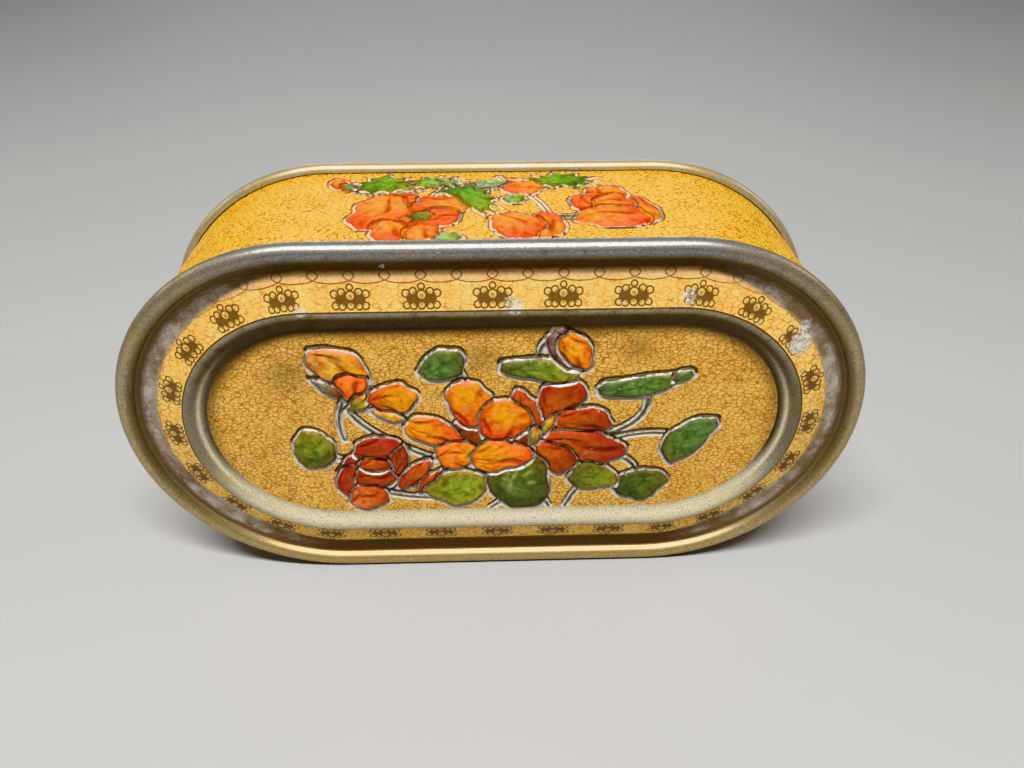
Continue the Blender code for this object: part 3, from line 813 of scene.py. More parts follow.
class Relief:
    """The height and the painted fields of one drawing, over all points of a sheet at once."""

    def __init__(self, x, y, inner_lines, ink_all_round):
        self.x, self.y = x, y
        self.inner_lines = inner_lines
        self.ink_all_round = ink_all_round
        self.height = np.zeros(x.shape)
        self.colour = np.zeros((*x.shape, 4))
        self.silver = np.zeros(x.shape)
        self.ink = np.zeros(x.shape)

    def lay(self, shape, at, swell, back, front, marks):
        """Press one motif into the sheet and paint it, at the points near it."""
        height, silver, ink = self.height[at], self.silver[at], self.ink[at]
        colour = self.colour[at]
        free = 1 - (1 - self.inner_lines) * colour[:, 3]
        inside = shape.distance < 0
        middle = 1 - np.minimum(shape.share, 1) ** 2
        dip = ease(shape.distance / GROOVE_WIDTH)
        floor = np.minimum(-GROOVE_DEPTH * free, height * (1 - free) * UNDER_SHARE - GROOVE_DEPTH * free)
        around = height * dip + floor * (1 - dip)
        rise = np.sin(np.clip(-shape.distance / SHOULDER, 0, 1) * np.pi / 2)
        crown = swell * (1 - CROWN_FALL + CROWN_FALL * middle)
        creases = MARKS[marks](shape)
        raised = floor + (crown - floor) * rise - CREASE_DEPTH * creases * rise
        self.height[at] = np.where(inside, raised, around)
        # The silver line is the bare tin of each outline. It is moved by the edge's direction onto the
        # groove wall that faces up, and faded along top edges: a painted highlight below each motif.
        above = np.maximum(shape.out_y, 0)
        off_line = shape.distance + SILVER_HIGHLIGHT_SHIFT * shape.out_y - SILVER_GAP
        line = bump(off_line, SILVER_WIDTH - SILVER_TAPER * above)
        line = line * free * (1 - SILVER_HIGHLIGHT_FADE * above)
        self.silver[at] = np.where(inside, line, np.maximum(silver, line))
        # On the lid this dark line is painted shadow. It lies above each motif: outside the groove on an
        # upper edge, and inside the cushion on a lower edge, where the sheet faces away from the light.
        # On the wall the line is the print's outline all round instead.
        shadow = bump(shape.distance - SHADOW_LINE_SHIFT * shape.out_y, SHADOW_LINE_WIDTH)
        shadow = shadow * ease(0.15 + 1.4 * np.abs(shape.out_y)) * (0.9 + 0.3 * shape.out_y)
        if self.ink_all_round:
            shadow = 0.8 * bump(shape.distance - PRINT_GAP, PRINT_WIDTH)
        self.ink[at] = np.where(inside, shadow, np.maximum(ink, shadow))
        change = ease((shape.along + 0.9) / 1.8)[:, None]
        paint = (1 - change) * np.array(LACQUERS[back]) + change * np.array(LACQUERS[front])
        # Lacquer pools deeper at a motif's edge. On top of that, the edge gets painted shade and the
        # crown a painted highlight.
        pooled_and_shaded = EDGE_POOL_SHADE + CREST_HIGHLIGHT * rise ** 2
        hollows = 1 - creases[:, None] * (1 - np.array(HOLLOW_TINTS[marks]))
        paint[:, :3] *= pooled_and_shaded[:, None] * hollows
        paint[:, 1] *= EDGE_GREEN + MIDDLE_GREEN * middle
        paint[:, 3] = 1.0
        cover = ease(-shape.distance / PAINT_EDGE + 0.5)[:, None]
        self.colour[at] = colour * (1 - cover) + paint * cover

    def near(self, middle, reach):
        """The points that a motif can touch."""
        return np.nonzero(np.hypot(self.x - middle[0], self.y - middle[1]) < reach)

    def lay_all(self, stems, spray, swell, stem_swell, stem_colour):
        """The stems first, and then the motifs, so that a motif covers the end of its stem."""
        for stem in stems:
            middle = np.mean([stem.start, stem.knee, stem.end], axis=0)
            reach = max(math.dist(middle, point) for point in (stem.start, stem.knee, stem.end))
            at = self.near(middle, reach + NEAR_MARGIN)
            shape = stem_shape(stem, self.x[at], self.y[at])
            self.lay(shape, at, stem_swell, stem_colour, stem_colour, "stem")
        for motif, *paint in spray:
            at = self.near((motif.x, motif.y), motif.long * NEAR_SHARE + NEAR_MARGIN)
            shape = motif_shape(motif, self.x[at], self.y[at])
            self.lay(shape, at, swell, *paint)

    def fields(self):
        """The painted fields, as attributes for the sheet's mesh."""
        return {"colour": self.colour, "silver": self.silver, "ink": self.ink}


# %% [markdown]
# The painted panel is a grid of fine steps, about a third of a millimetre, so that the pressing is
# real geometry. Its columns are the rim's columns twice over, and every odd one of its outermost
# points lies midway between two of the rim's, so that the two surfaces meet without a crack.

# %% The lid's painted panel
LID_DRAWING = (88.8, 37.0)
LID_SWELL = 1.0
LID_STEM_SWELL = 0.62
PANEL_ROWS = 101
SETTLE_WIDTH = 1.2

fine_columns = oval_columns(*(2 * steps for steps in RIM_STEPS))
panel_reach = np.linspace(0, PANEL_EDGE, PANEL_ROWS)
panel_points = oval_points(fine_columns, panel_reach, np.full(PANEL_ROWS, PANEL_LEVEL))
rim_neighbours = np.roll(panel_points[::2, -1], -1, axis=0)
panel_points[1::2, -1] = (panel_points[::2, -1] + rim_neighbours) / 2
lid_relief = Relief(
    panel_points[..., 0] / (HALF_STRAIGHT + PANEL_EDGE) * LID_DRAWING[0],
    panel_points[..., 1] / PANEL_EDGE * LID_DRAWING[1],
    inner_lines=0.7, ink_all_round=False,
)
lid_relief.lay_all(LID_STEMS, LID_SPRAY, LID_SWELL, LID_STEM_SWELL, "pewter")
settle = ease((PANEL_EDGE - panel_reach) / SETTLE_WIDTH)[None, :]
panel_points[..., 2] += lid_relief.height * settle
print("panel relief from", round(lid_relief.height.min(), 2), "to", round(lid_relief.height.max(), 2))

# %% [markdown]
# Finishes are laid one over another, so nearly every step of one is a blend by some share: a share
# comes from a texture or a field, and is stretched so that it runs from nothing to all over a short
# range. Steps that several finishes need are kept as node groups, with sockets for what differs.

# %% Steps that the finishes share
def larger(one, other):
    """The larger of two values."""
    return one.step("MAXIMUM", one, other)


def smaller(one, other):
    """The smaller of two values."""
    return one.step("MINIMUM", one, other)


def between(value, low, high, to_low=0.0, to_high=1.0):
    """Carry a value from one range to another, with a smooth start and end."""
    sockets = {"Value": value, "From Min": low, "From Max": high, "To Min": to_low, "To Max": to_high}
    return value.net.node("ShaderNodeMapRange", sockets, "Result", interpolation_type="SMOOTHSTEP")


def tint(share, low, high, blend="MIX"):
    """Blend two colours by a share."""
    sockets = {0: share, 6: low, 7: high}
    return share.net.node("ShaderNodeMix", sockets, 2, data_type="RGBA", blend_type=blend)


def raised(height, depth, strength=1.0):
    """A bump from a height between 0 and 1, with its depth in metres."""
    return height.net.node("ShaderNodeBump", {"Height": height, "Distance": depth, "Strength": strength})


def new_group(name, inputs):
    """A shader node group with an input for each number or colour, and the values that come in."""
    group = bpy.data.node_groups.new(name, "ShaderNodeTree")
    for label, value in inputs.items():
        kind = "NodeSocketFloat" if isinstance(value, float) else "NodeSocketColor"
        group.interface.new_socket(label, in_out="INPUT", socket_type=kind).default_value = value
    net = Net(group)
    entry = group.nodes.new("NodeGroupInput").outputs
    return net, {label: Value(net, entry[label]) for label in inputs}


def close_group(net, outputs):
    """Give a group its outputs, each a number or a colour as the value's own socket is."""
    for label, value in outputs.items():
        kind = "NodeSocketColor" if value.socket.type == "RGBA" else "NodeSocketFloat"
        net.tree.interface.new_socket(label, in_out="OUTPUT", socket_type=kind)
    net.fill(net.tree.nodes.new("NodeGroupOutput"), outputs)
    print("group", net.tree.name, "gives", list(outputs))
    return net.tree


# %% [markdown]
# The printed ground is a gold varnish that was made to crackle on purpose: it dried faster on top
# than below and split into little islands. A Voronoi texture gives islands, and its distance to
# the nearest edge gives the cracks between them. The same group serves the panel, the border and
# the wall, each with cells of its own size. A second group gives the rubbed metal.

# %% Shader groups used by several finishes
CELL_WOBBLE = (0.0011, 0.0011, 0.0011)
CELL_STRETCH = (0.62, 1.0, 1.0)
HAIR_CELLS = 2.3
METAL = pigments(glint=(232, 206, 138), pit=(118, 88, 44), soil=(78, 62, 44))


def crackle_group():
    """Gold varnish split into islands: cells per metre, how strong the cracks are, three colours."""
    net, entry = new_group("crackled_varnish", {
        "Cells": 450.0, "Crack": 1.0, "Width": 0.12, "Ground": pigment(205, 152, 66),
        "Deep": pigment(170, 108, 36), "Line": pigment(112, 64, 22),
    })
    sockets = {"Vector": net.place, "Scale": 700.0, "Detail": 2.0}
    shift = net.node("ShaderNodeTexNoise", sockets, "Color")
    sockets = {0: shift, 1: CELL_WOBBLE, 2: net.place}
    bent = net.node("ShaderNodeVectorMath", sockets, operation="MULTIPLY_ADD")
    bent = net.node("ShaderNodeVectorMath", {0: bent, 1: CELL_STRETCH}, operation="MULTIPLY")

    def cells(scale, output="Distance", feature="DISTANCE_TO_EDGE"):
        """One output of a Voronoi texture over the bent places."""
        sockets = {"Vector": bent, "Scale": scale}
        return net.node("ShaderNodeTexVoronoi", sockets, output, feature=feature)

    patches = between(net.noise(90.0), 0.35, 0.65)
    wide = entry["Width"] * between(patches, 0, 1, 0.8, 1.2)
    main = between(cells(entry["Cells"]), 0.0, wide, 1.0, 0.0)
    hair = 0.25 * between(cells(HAIR_CELLS * entry["Cells"]), 0.0, 0.12, 1.0, 0.0)
    broken = between(net.noise(420.0), 0.30, 0.55, 0.72, 1.0)
    cracks = (larger(main, hair) * broken * entry["Crack"]).clamped()
    islands = cells(entry["Cells"], "Color", "F1")
    tone = net.node("ShaderNodeSeparateColor", {0: islands})
    mottle = 0.12 * tone - 0.25 + 0.5 * net.noise(2600.0, 1.0) + net.noise(150.0)
    ground = tint(between(mottle, 0.36, 0.86), entry["Ground"], entry["Deep"])
    return close_group(net, {
        "Color": tint(cracks, ground, entry["Line"]), "Height": 1.0 - cracks,
        "Roughness": 0.25 * cracks + 0.34,
    })


def worn_metal_group():
    """Gold lacquer rubbed down to grey tin: fine specks of both, in patches."""
    net, entry = new_group("rubbed_gold", {
        "Wear": 0.5, "Dirt": 0.3, "Gold": pigment(176, 148, 92), "Tin": pigment(136, 134, 128),
    })
    speck = net.noise(1900.0, 2.0, 0.7)
    rub = speck + 0.5 * net.noise(75.0, 4.0, 0.6) + 0.9 * entry["Wear"] - 1.2
    metal = tint(between(rub, -0.20, 0.20), entry["Gold"], entry["Tin"])
    metal = tint(0.75 * between(net.noise(2400.0, 1.0), 0.60, 0.72), metal, METAL["glint"])
    metal = tint(0.6 * between(net.noise(1900.0, 3.0, 0.7), 0.50, 0.66), metal, METAL["pit"])
    grime_and_shade = net.noise(260.0, 5.0, 0.7) + 0.9 * entry["Dirt"] - 0.95
    soiled_and_shaded = between(grime_and_shade, -0.16, 0.34)
    return close_group(net, {
        "Color": tint(soiled_and_shaded, metal, METAL["soil"]), "Height": speck + grime_and_shade,
        "Roughness": 0.22 * speck + 0.24 + 0.3 * soiled_and_shaded,
    })


crackled = crackle_group()
rubbed = worn_metal_group()

# %% [markdown]
# A painted sheet has four finishes on top of each other: the crackled ground, the clear colours of
# the flowers, the bare silver line round each of them, placed and faded as a painted highlight, and
# a thin dark line. On the wall that line is the print, which never quite falls where the press did,
# and on the lid it is painted shadow above each motif. The ground is darkened further by painted
# shade and smudges. The fields kept on the mesh say how much of each there is.
# Unpainted tinplate is the rubbed metal alone.

# %% The finishes of a painted sheet and of bare tinplate
PAINT = pigments(
    soil=(74, 54, 34), cold_stain=(170, 168, 150), warm_stain=(240, 150, 80), bare=(150, 142, 132)
)


def painted_sheet(name, ground, line_colour, line_metal, ink_and_shadow_colour, colour_lift, gloss):
    """A material for a pressed and painted sheet, over a crackled ground with its own values."""
    material, net, shader = new_material(name)
    varnish = net.group(crackled, ground)
    # The field read here darkens the ground towards a dark brown: painted shade under the lid's roll,
    # finger smudges, and a darkening near the wall's foot.
    soil = tint(net.field("shade_and_soil"), varnish["Color"], PAINT["soil"])
    paint, cover = net.field("colour", "Color"), net.field("colour", "Alpha")
    clouds = net.noise(520.0, 4.0, 0.65)
    glow = between(clouds, 0.25, 0.75, colour_lift * 0.72, colour_lift * 1.22)
    bright = net.node("ShaderNodeVectorMath", {0: paint, "Scale": glow}, operation="SCALE")
    red, green = (net.node("ShaderNodeSeparateColor", {0: paint}, channel) for channel in (0, 1))
    stain = between(net.noise(360.0, 5.0, 0.7, 0.6), 0.45, 0.64, 0.0, 0.85)
    stain_colour = tint(between(red - green, 0.03, 0.15), PAINT["cold_stain"], PAINT["warm_stain"])
    stained = tint(stain, bright, stain_colour, "MULTIPLY")
    stained = tint(0.7 * between(net.noise(420.0, 2.0), 0.70, 0.74), stained, PAINT["bare"])
    shake = between(net.noise(700.0, 3.0, 0.6), 0.3, 0.7, 0.75, 1.1)
    silver = between((net.field("silver") * shake).clamped(), 0.24, 0.62)
    # On the lid the ink field is mostly a painted shadow line above each motif. On the wall it is the
    # printed outline.
    ink = between((net.field("ink") * shake).clamped(), 0.22, 0.62)
    colour = tint(silver, tint(cover, soil, stained), line_colour)
    height = varnish["Height"] * (1.0 - larger(cover, silver)) + 0.5 * clouds
    net.fill(shader, {
        "Base Color": tint(0.9 * ink, colour, ink_and_shadow_colour), "Specular IOR Level": gloss,
        "Roughness": 0.10 * cover + varnish["Roughness"],
        "Metallic": (silver * line_metal + 0.12 - ink).clamped(),
        "Normal": raised(height, 0.00008, 0.8),
    })
    return material


def bare_tinplate(name, wear, dirt, metallic, depth, **colours):
    """A material of rubbed metal alone. Wear and dirt are numbers or the names of fields."""
    material, net, shader = new_material(name)
    wear, dirt = (net.field(value) if isinstance(value, str) else value for value in (wear, dirt))
    metal = net.group(rubbed, {"Wear": wear, "Dirt": dirt, **colours})
    net.fill(shader, {
        "Base Color": metal["Color"], "Roughness": metal["Roughness"], "Metallic": metallic,
        "Normal": raised(metal["Height"], depth),
    })
    return material


LID_GROUND = {
    "Cells": 900.0, "Crack": 0.9, "Width": 0.16, "Ground": pigment(242, 196, 104),
    "Deep": pigment(224, 172, 80), "Line": pigment(152, 92, 34),
}
panel_paint = painted_sheet(
    "panel_paint", LID_GROUND, pigment(200, 196, 190), 0.14, pigment(28, 17, 10), 1.0, 0.4
)
inside_tin = bare_tinplate("inner_tinplate", 0.55, 0.25, 0.85, 0.00003)
print("finishes so far", [material.name for material in bpy.data.materials])

# %% [markdown]
# Painted shade darkens the corner under the roll, where the roll's shadow falls: most of all at the
# top and at the upper left, less at the sides and least at the bottom. A few soft smudges on the
# ground come from fingers. The panel's sheet is made here, as soon as its finish and its fields are
# there.

# %% The painted shade and the smudges of the panel, and the panel
Smudge = namedtuple("Smudge", "x y size")
SMUDGES = [
    Smudge(42.6, 28.3, 4.5), Smudge(-4.1, 25.7, 5.5), Smudge(29.5, 34.5, 3.5), Smudge(-62.0, 20.0, 7.0),
]
EDGE_SHADE_START = 31

panel_x, panel_y = panel_points[..., 0], panel_points[..., 1]
# Painted shadow of the roll: strongest along the top, fading towards the bottom.
upper_left = ease((panel_y - 0.5 * panel_x - 10) / 60)
painted_edge_shade = ease((panel_reach - EDGE_SHADE_START) / (PANEL_EDGE - EDGE_SHADE_START))[None, :] ** 1.3
painted_roll_shadow = painted_edge_shade * (0.42 + 0.5 * np.clip(panel_y / PANEL_EDGE, -0.6, 1) + 0.2 * upper_left)
smudges = sum(0.4 * bump(np.hypot(panel_x - x, panel_y - y), size) for x, y, size in SMUDGES)
panel_fields = {
    **lid_relief.fields(), "shade_and_soil": np.clip(painted_roll_shadow + smudges * (1 - painted_edge_shade), 0, 1),
}
panel = pressed_sheet(
    "lid_panel", panel_points, fine_columns, panel_reach, panel_fields,
    [panel_paint, inside_tin], every=4, closed=(False, True),
)

# %% [markdown]
# The rim carries a printed border of rosettes and a chain of ovals. A rosette is made of round
# pearls, so the shader draws it from circles: on the piece's texture map, one repeat of the pattern
# is a little sheet in millimetres, and the distance to the nearest of a few circles says what is
# ink, what is gold and what is ground.

# %% The printed rosettes
Pearl = namedtuple("Pearl", "x y radius")
ROSETTE_REACH = 46.9
PEARLS = [
    Pearl(0.0, 3.3, 0.75), Pearl(0.0, 1.0, 1.15), Pearl(0.0, -1.7, 0.9),
    Pearl(2.35, 2.0, 0.85), Pearl(2.3, -1.9, 0.8),
    Pearl(4.3, 1.5, 0.9), Pearl(4.1, -1.7, 0.85),
]
HEARTS = [Pearl(0.86 * pearl.x, 0.80 * pearl.y, 0.58 * pearl.radius) for pearl in PEARLS]
PEARL_RING = 0.36
BODY = (4.4, 2.3)
CHAIN_REACH = 53.4
CHAIN_OVAL = (6.3, 2.2)
LINE_HALF = 0.2


def length_of(across, upward):
    """The length of a flat vector: the root of the sum of two squares."""
    return across.step("SQRT", across * across + upward * upward)


def nearest_gap(along, upward, circles):
    """The smallest of the distances to the edges of some circles, below 0 inside one."""
    gaps = [length_of(along - circle.x, upward - circle.y) - circle.radius for circle in circles]
    return reduce(smaller, gaps)


def chain_lines(along, across, repeat):
    """Two ovals in each repeat, each linked through its neighbours.

    The place over the half lengths of an oval gives its size there, which is 1 on the line. Its
    lead over 1, divided by how fast the size grows, is the distance to the line.
    """
    long, high = CHAIN_OVAL
    tall = (across - CHAIN_REACH) / high
    gaps = []
    for middle in (-repeat / 4, repeat / 4, 3 * repeat / 4):
        wide = (along - middle) / long
        size = length_of(wide, tall)
        gaps.append(abs((size - 1.0) * size / length_of(wide / long, tall / high)))
    return between(reduce(smaller, gaps), LINE_HALF * 0.5, LINE_HALF * 1.5, 1.0, 0.0)


def border_print_group():
    """The printed border: its dark lines, its pearls, and its chain.

    Round counts repeats, and Across is the reach in millimetres. Both halves of a rosette are
    alike, so the place along is folded over at its middle. Each pearl has a dark heart that lies
    nearer the middle, and what is left of the pearl is a pale crescent.
    """
    net, entry = new_group("border_print", {"Round": 0.0, "Across": 0.0})
    repeat = (4 * HALF_STRAIGHT + 2 * math.pi * PATTERN_REACH) / PATTERN_COUNT
    part = entry["Round"].step("FRACT", entry["Round"] + 0.5)
    along = abs((part - 0.5) * repeat)
    upward = entry["Across"] - ROSETTE_REACH
    nearest = nearest_gap(along, upward, PEARLS)
    heart = between(nearest_gap(along, upward, HEARTS), -0.15, 0.15, 0.25, 1.0)
    pearl = between(nearest, -0.26, -0.04, 1.0, 0.0) * heart
    body = between(length_of(along / BODY[0], upward / BODY[1]), 0.92, 1.0, 1.0, 0.0)
    outline = between(nearest, PEARL_RING - 0.08, PEARL_RING + 0.08, 1.0, 0.0)
    return close_group(net, {
        "Ink": (larger(outline, body) - pearl).clamped(), "Pearl": pearl,
        "Chain": chain_lines(along, entry["Across"], repeat),
    })


border_print = border_print_group()
print(len(PEARLS), "pearls in half a rosette,", PATTERN_COUNT, "rosettes round the lid")

# %% [markdown]
# The rim's finish changes over its section: rubbed metal on the roll, the crisp dark line where
# the roll stands over the border, and the printed border with a pale band of fading print and painted
# sheen. Then comes a hollow that is dark along the straight runs from patina and painted shadow, and
# pale at the round ends from worn tin and painted sheen, and then rubbed metal again on the bead.
# Painted shade and highlights lie over the metal of the roll and the bead. The reach on the texture
# map tells the zones apart. Where the tin was held and stood for years, the lacquer has gone, and
# scuffs show bare tin.

# %% The finish of the rim
BORDER_GROUND = {
    "Cells": 640.0, "Crack": 0.8, "Width": 0.11, "Ground": pigment(246, 208, 118),
    "Deep": pigment(236, 182, 84), "Line": pigment(168, 104, 40),
}
RIM = pigments(
    blush=(228, 182, 142), ink=(92, 60, 28), pearl=(214, 180, 108), chain=(88, 54, 38),
    pewter=(158, 140, 118), pale_pewter=(192, 186, 178), dark_pewter=(88, 76, 62),
    dirt=(98, 76, 50), dark_hollow=(50, 34, 22), crisp_line=(38, 20, 10),
    bead_gold=(178, 155, 106), roll_gold=(232, 216, 166), bead_tin=(146, 148, 148),
    end_tin=(166, 157, 138), roll_tin=(226, 219, 200), deep_shade=(58, 44, 26),
    scuffed=(216, 210, 196), dull_scuffed=(164, 158, 148),
)
# reaches, in millimetres, over which one zone of the rim gives way to the next
PRINT_FADE_AND_SHEEN = (50.6, 53.2)
HOLLOW = (53.2, 55.2)
HOLLOW_FLOOR = (54.6, 56.6)
HOLLOW_SPREAD = 2.9


def rim_paint_material():
    """The printed and rubbed finish of the lid's rim, laid on from the ground up."""
    material, net, shader = new_material("rim_print")
    sheet_place = net.node("ShaderNodeUVMap", uv_map="round_and_across")
    rounds, across = (net.node("ShaderNodeSeparateXYZ", {0: sheet_place}, axis) for axis in (0, 1))
    shifted = across + (0.5 * net.noise(160.0) - 0.25)
    ends = net.field("ends")

    varnish = net.group(crackled, BORDER_GROUND)
    printed = net.group(border_print, {"Round": rounds, "Across": across})
    # A pale pink band along the border's outer part. It is partly the print fading to metal and partly a
    # painted sheen where the border bends into the hollow.
    colour = tint(0.6 * between(shifted, *PRINT_FADE_AND_SHEEN), varnish["Color"], RIM["blush"])
    colour = tint(0.92 * printed["Ink"], colour, RIM["ink"])
    colour = tint(printed["Pearl"], colour, RIM["pearl"])

    # The hollow is dark along the straight runs: patina, and painted shadow of the bead above and of the
    # light grazing past below, where the low field widens it. At the round ends it is pale pewter,
    # darker towards the bead: worn tin with a painted sheen.
    hollow = between(shifted + HOLLOW_SPREAD * (net.field("low") + ends), *HOLLOW)
    clouds = between(net.noise(230.0, 6.0, 0.7), 0.36, 0.64)
    dirt = between(net.noise(60.0, 6.0, 0.7), 0.42, 0.62, 0.0, 0.75)
    pewter = tint(clouds, RIM["pewter"], RIM["pale_pewter"])
    pewter = tint(between(shifted, *HOLLOW_FLOOR), pewter, RIM["dark_pewter"])
    hollow_shade_and_sheen = tint(ends, RIM["dark_hollow"], tint(dirt, pewter, RIM["dirt"]))
    colour = tint(0.93 * hollow, colour, hollow_shade_and_sheen)
    colour = tint(printed["Chain"] * (0.8 - 0.5 * ends), colour, RIM["chain"])

    roll = between(across, ROLL_OUTER - 0.10, ROLL_OUTER + 0.02, 1.0, 0.0)
    bare = larger(roll, between(shifted, BORDER_END - 0.9, BORDER_END + 0.1))
    metal = net.group(rubbed, {
        "Wear": net.field("wear"), "Dirt": net.field("soot_and_shade"),
        "Gold": tint(roll, RIM["bead_gold"], RIM["roll_gold"]),
        "Tin": tint(roll, tint(ends, RIM["bead_tin"], RIM["end_tin"]), RIM["roll_tin"]),
    })
    # The shade field tints the rubbed metal towards a deep colour. It carries painted shade and painted
    # highlights for the roll and the bead.
    colour = tint(bare, colour, tint(net.field("shade"), RIM["deep_shade"], metal["Color"]))

    rubbed_off = between(net.field("scuff") + (2.2 * net.noise(620.0, 6.0, 0.8) - 1.75), 0.0, 0.20)
    scuffed = tint(between(net.noise(900.0), 0.4, 0.6), RIM["scuffed"], RIM["dull_scuffed"])
    colour = tint(rubbed_off, colour, scuffed)
    crisp = between(across, ROLL_OUTER - 0.18, ROLL_OUTER - 0.06)
    crisp = crisp * between(across, BORDER_START + 0.04, BORDER_START + 0.16, 1.0, 0.0)
    shine = larger(bare, 0.8 * hollow) - 0.3 * roll
    rough, level = (
        varnish[label] + bare * (metal[label] - varnish[label]) for label in ("Roughness", "Height")
    )
    net.fill(shader, {
        "Base Color": tint(0.92 * crisp, colour, RIM["crisp_line"]), "Roughness": rough,
        "Metallic": (0.55 * shine + 0.12).clamped(), "Normal": raised(level, 0.00006, 0.8),
        "Specular IOR Level": 0.5,
    })
    return material


rim_paint = rim_paint_material()
print("the rim's print lies between", round(BORDER_START, 2), "and", round(BORDER_END, 2), "mm")

# %% [markdown]
# The rim is the section carried round the oval. Fields kept on its points tell the finish where
# hands and table rubbed it and where soot gathered, and they carry painted light and shade: the roll
# is painted darkest along its top, which faces away from the light, and at the round ends a painted
# highlight runs along the roll's inner slope near its foot and along the ridge of the bead.

# %% The lid's rim
Scuff = namedtuple("Scuff", "x y size strength")
SCUFFS = [
    Scuff(89.5, 30.0, 6.0, 1.0), Scuff(89.8, 35.4, 3.4, 1.0), Scuff(6.1, 44.6, 5.0, 0.85),
    Scuff(-53.0, 43.6, 3.2, 0.85), Scuff(54.0, 46.4, 4.2, 0.85), Scuff(36.0, 45.0, 2.0, 0.7),
    Scuff(-29.5, 56.0, 1.4, 0.9), Scuff(75.0, 38.0, 2.2, 0.7),
]
# reaches of the roll and the bead where painted highlights and shade lie, and where along the tin
# its round ends begin
ROLL_FOOT, ROLL_LINE, ROLL_BROW = 38.4, 39.2, 40.6
BEAD_FLANK, BEAD_RIDGE = 60.4, 60.9
END_START, END_SPREAD = 55, 30


def scuff_field(points):
    """How scuffed each point is: a soft disc round each scuff, in the plane of the lid."""
    total = np.zeros(points.shape[:2])
    for scuff in SCUFFS:
        far = np.hypot(points[..., 0] - scuff.x, points[..., 1] - scuff.y)
        total = np.maximum(total, scuff.strength * ease(1.25 - far / scuff.size))
    return total


section_reach, section_height = lid_section.T
rim_points = oval_points(rim_columns, section_reach, section_height)
outermost = int(np.argmax(section_reach))
rim_across = section_reach.copy()
rim_across[outermost:] = 2 * RIM_REACH - section_reach[outermost:]
up = rim_points[..., 1] / RIM_REACH
on_roll = (rim_across < ROLL_OUTER)[None, :]
lift = rim_points[..., 1] / rim_across
rim_x = rim_points[..., 0]
above, below = ease((lift - 0.15) / 0.75), ease((-lift - 0.15) / 0.75)
beside = 1 - above - below
# Painted light and shade, as a share from the deep colour to the full metal. The roll is dark along its
# top with a lighter brow, and bright along the bottom with a darker brow. At the round ends it has a
# painted highlight on its inner slope and a darker foot, and its right end is slightly darker. The bead
# is darker on its inner flank and bright along its ridge.
painted_highlight_line, foot = bump(rim_across - ROLL_LINE, 0.55), ease((ROLL_FOOT - rim_across) / 1.2)
crest = ease((rim_across - ROLL_BROW) / 2)
roll_shade = beside * (0.30 + 0.70 * painted_highlight_line - 0.20 * foot) + above * (0.06 + 0.34 * crest)
roll_shade = roll_shade + below * (0.98 - 0.2 * foot - 0.4 * crest) - 0.08 * beside * (rim_x > 0)
flank, ridge = ease((BEAD_FLANK - rim_across) / 2.4), bump(rim_across - BEAD_RIDGE, 1.3)
bead_shade = beside * (0.54 + 0.60 * ridge - 0.2 * flank) + above * (0.86 - 0.35 * flank) + below
end_share = ease((np.abs(rim_x) - END_START) / END_SPREAD)
# The soot field grows towards the top. It is soot, and on the roll also painted shade where its top
# faces away from the light.
rim_fields = {
    "wear": np.where(on_roll, 0.52 - 0.05 * up, 0.50 + 0.38 * up * (1 - 0.6 * end_share)),
    "soot_and_shade": np.where(on_roll, 0.28 + 0.22 * up, 0.30 + 0.06 * up),
    "scuff": scuff_field(rim_points),
    "ends": end_share,
    "low": below,
    "shade": np.where(on_roll, roll_shade, bead_shade),
}
rim = pressed_sheet(
    "lid_rim", rim_points, rim_columns, rim_across, rim_fields, [rim_paint, inside_tin], every=2
)
for piece in (panel, rim):
    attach(piece, "root")
    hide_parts("lid")

# %% [markdown]
# The wall is one strip of printed tinplate bent round the oval, with poppies pressed into its two
# long sides. It is painted like the lid, in brighter colours, with pale outlines. Its columns
# follow the oval and its rows go from the lid to the base.

# %% The wall's drawing
WALL_DRAWING = (51.75, 24.0)
WALL_PICTURE_MARGIN = 3.0
WALL_SWELL = 0.85
WALL_STEM_SWELL = 0.45
BEAD_SPACING = 56.84
WALL_ROWS = 129
WALL_STEPS = (256, 40)
OFF_THE_PICTURE = 1000.0

poppy = partial(petal, lobes=5, wave=0.05)
toothed = partial(leaf, point=0.15, lobes=11)

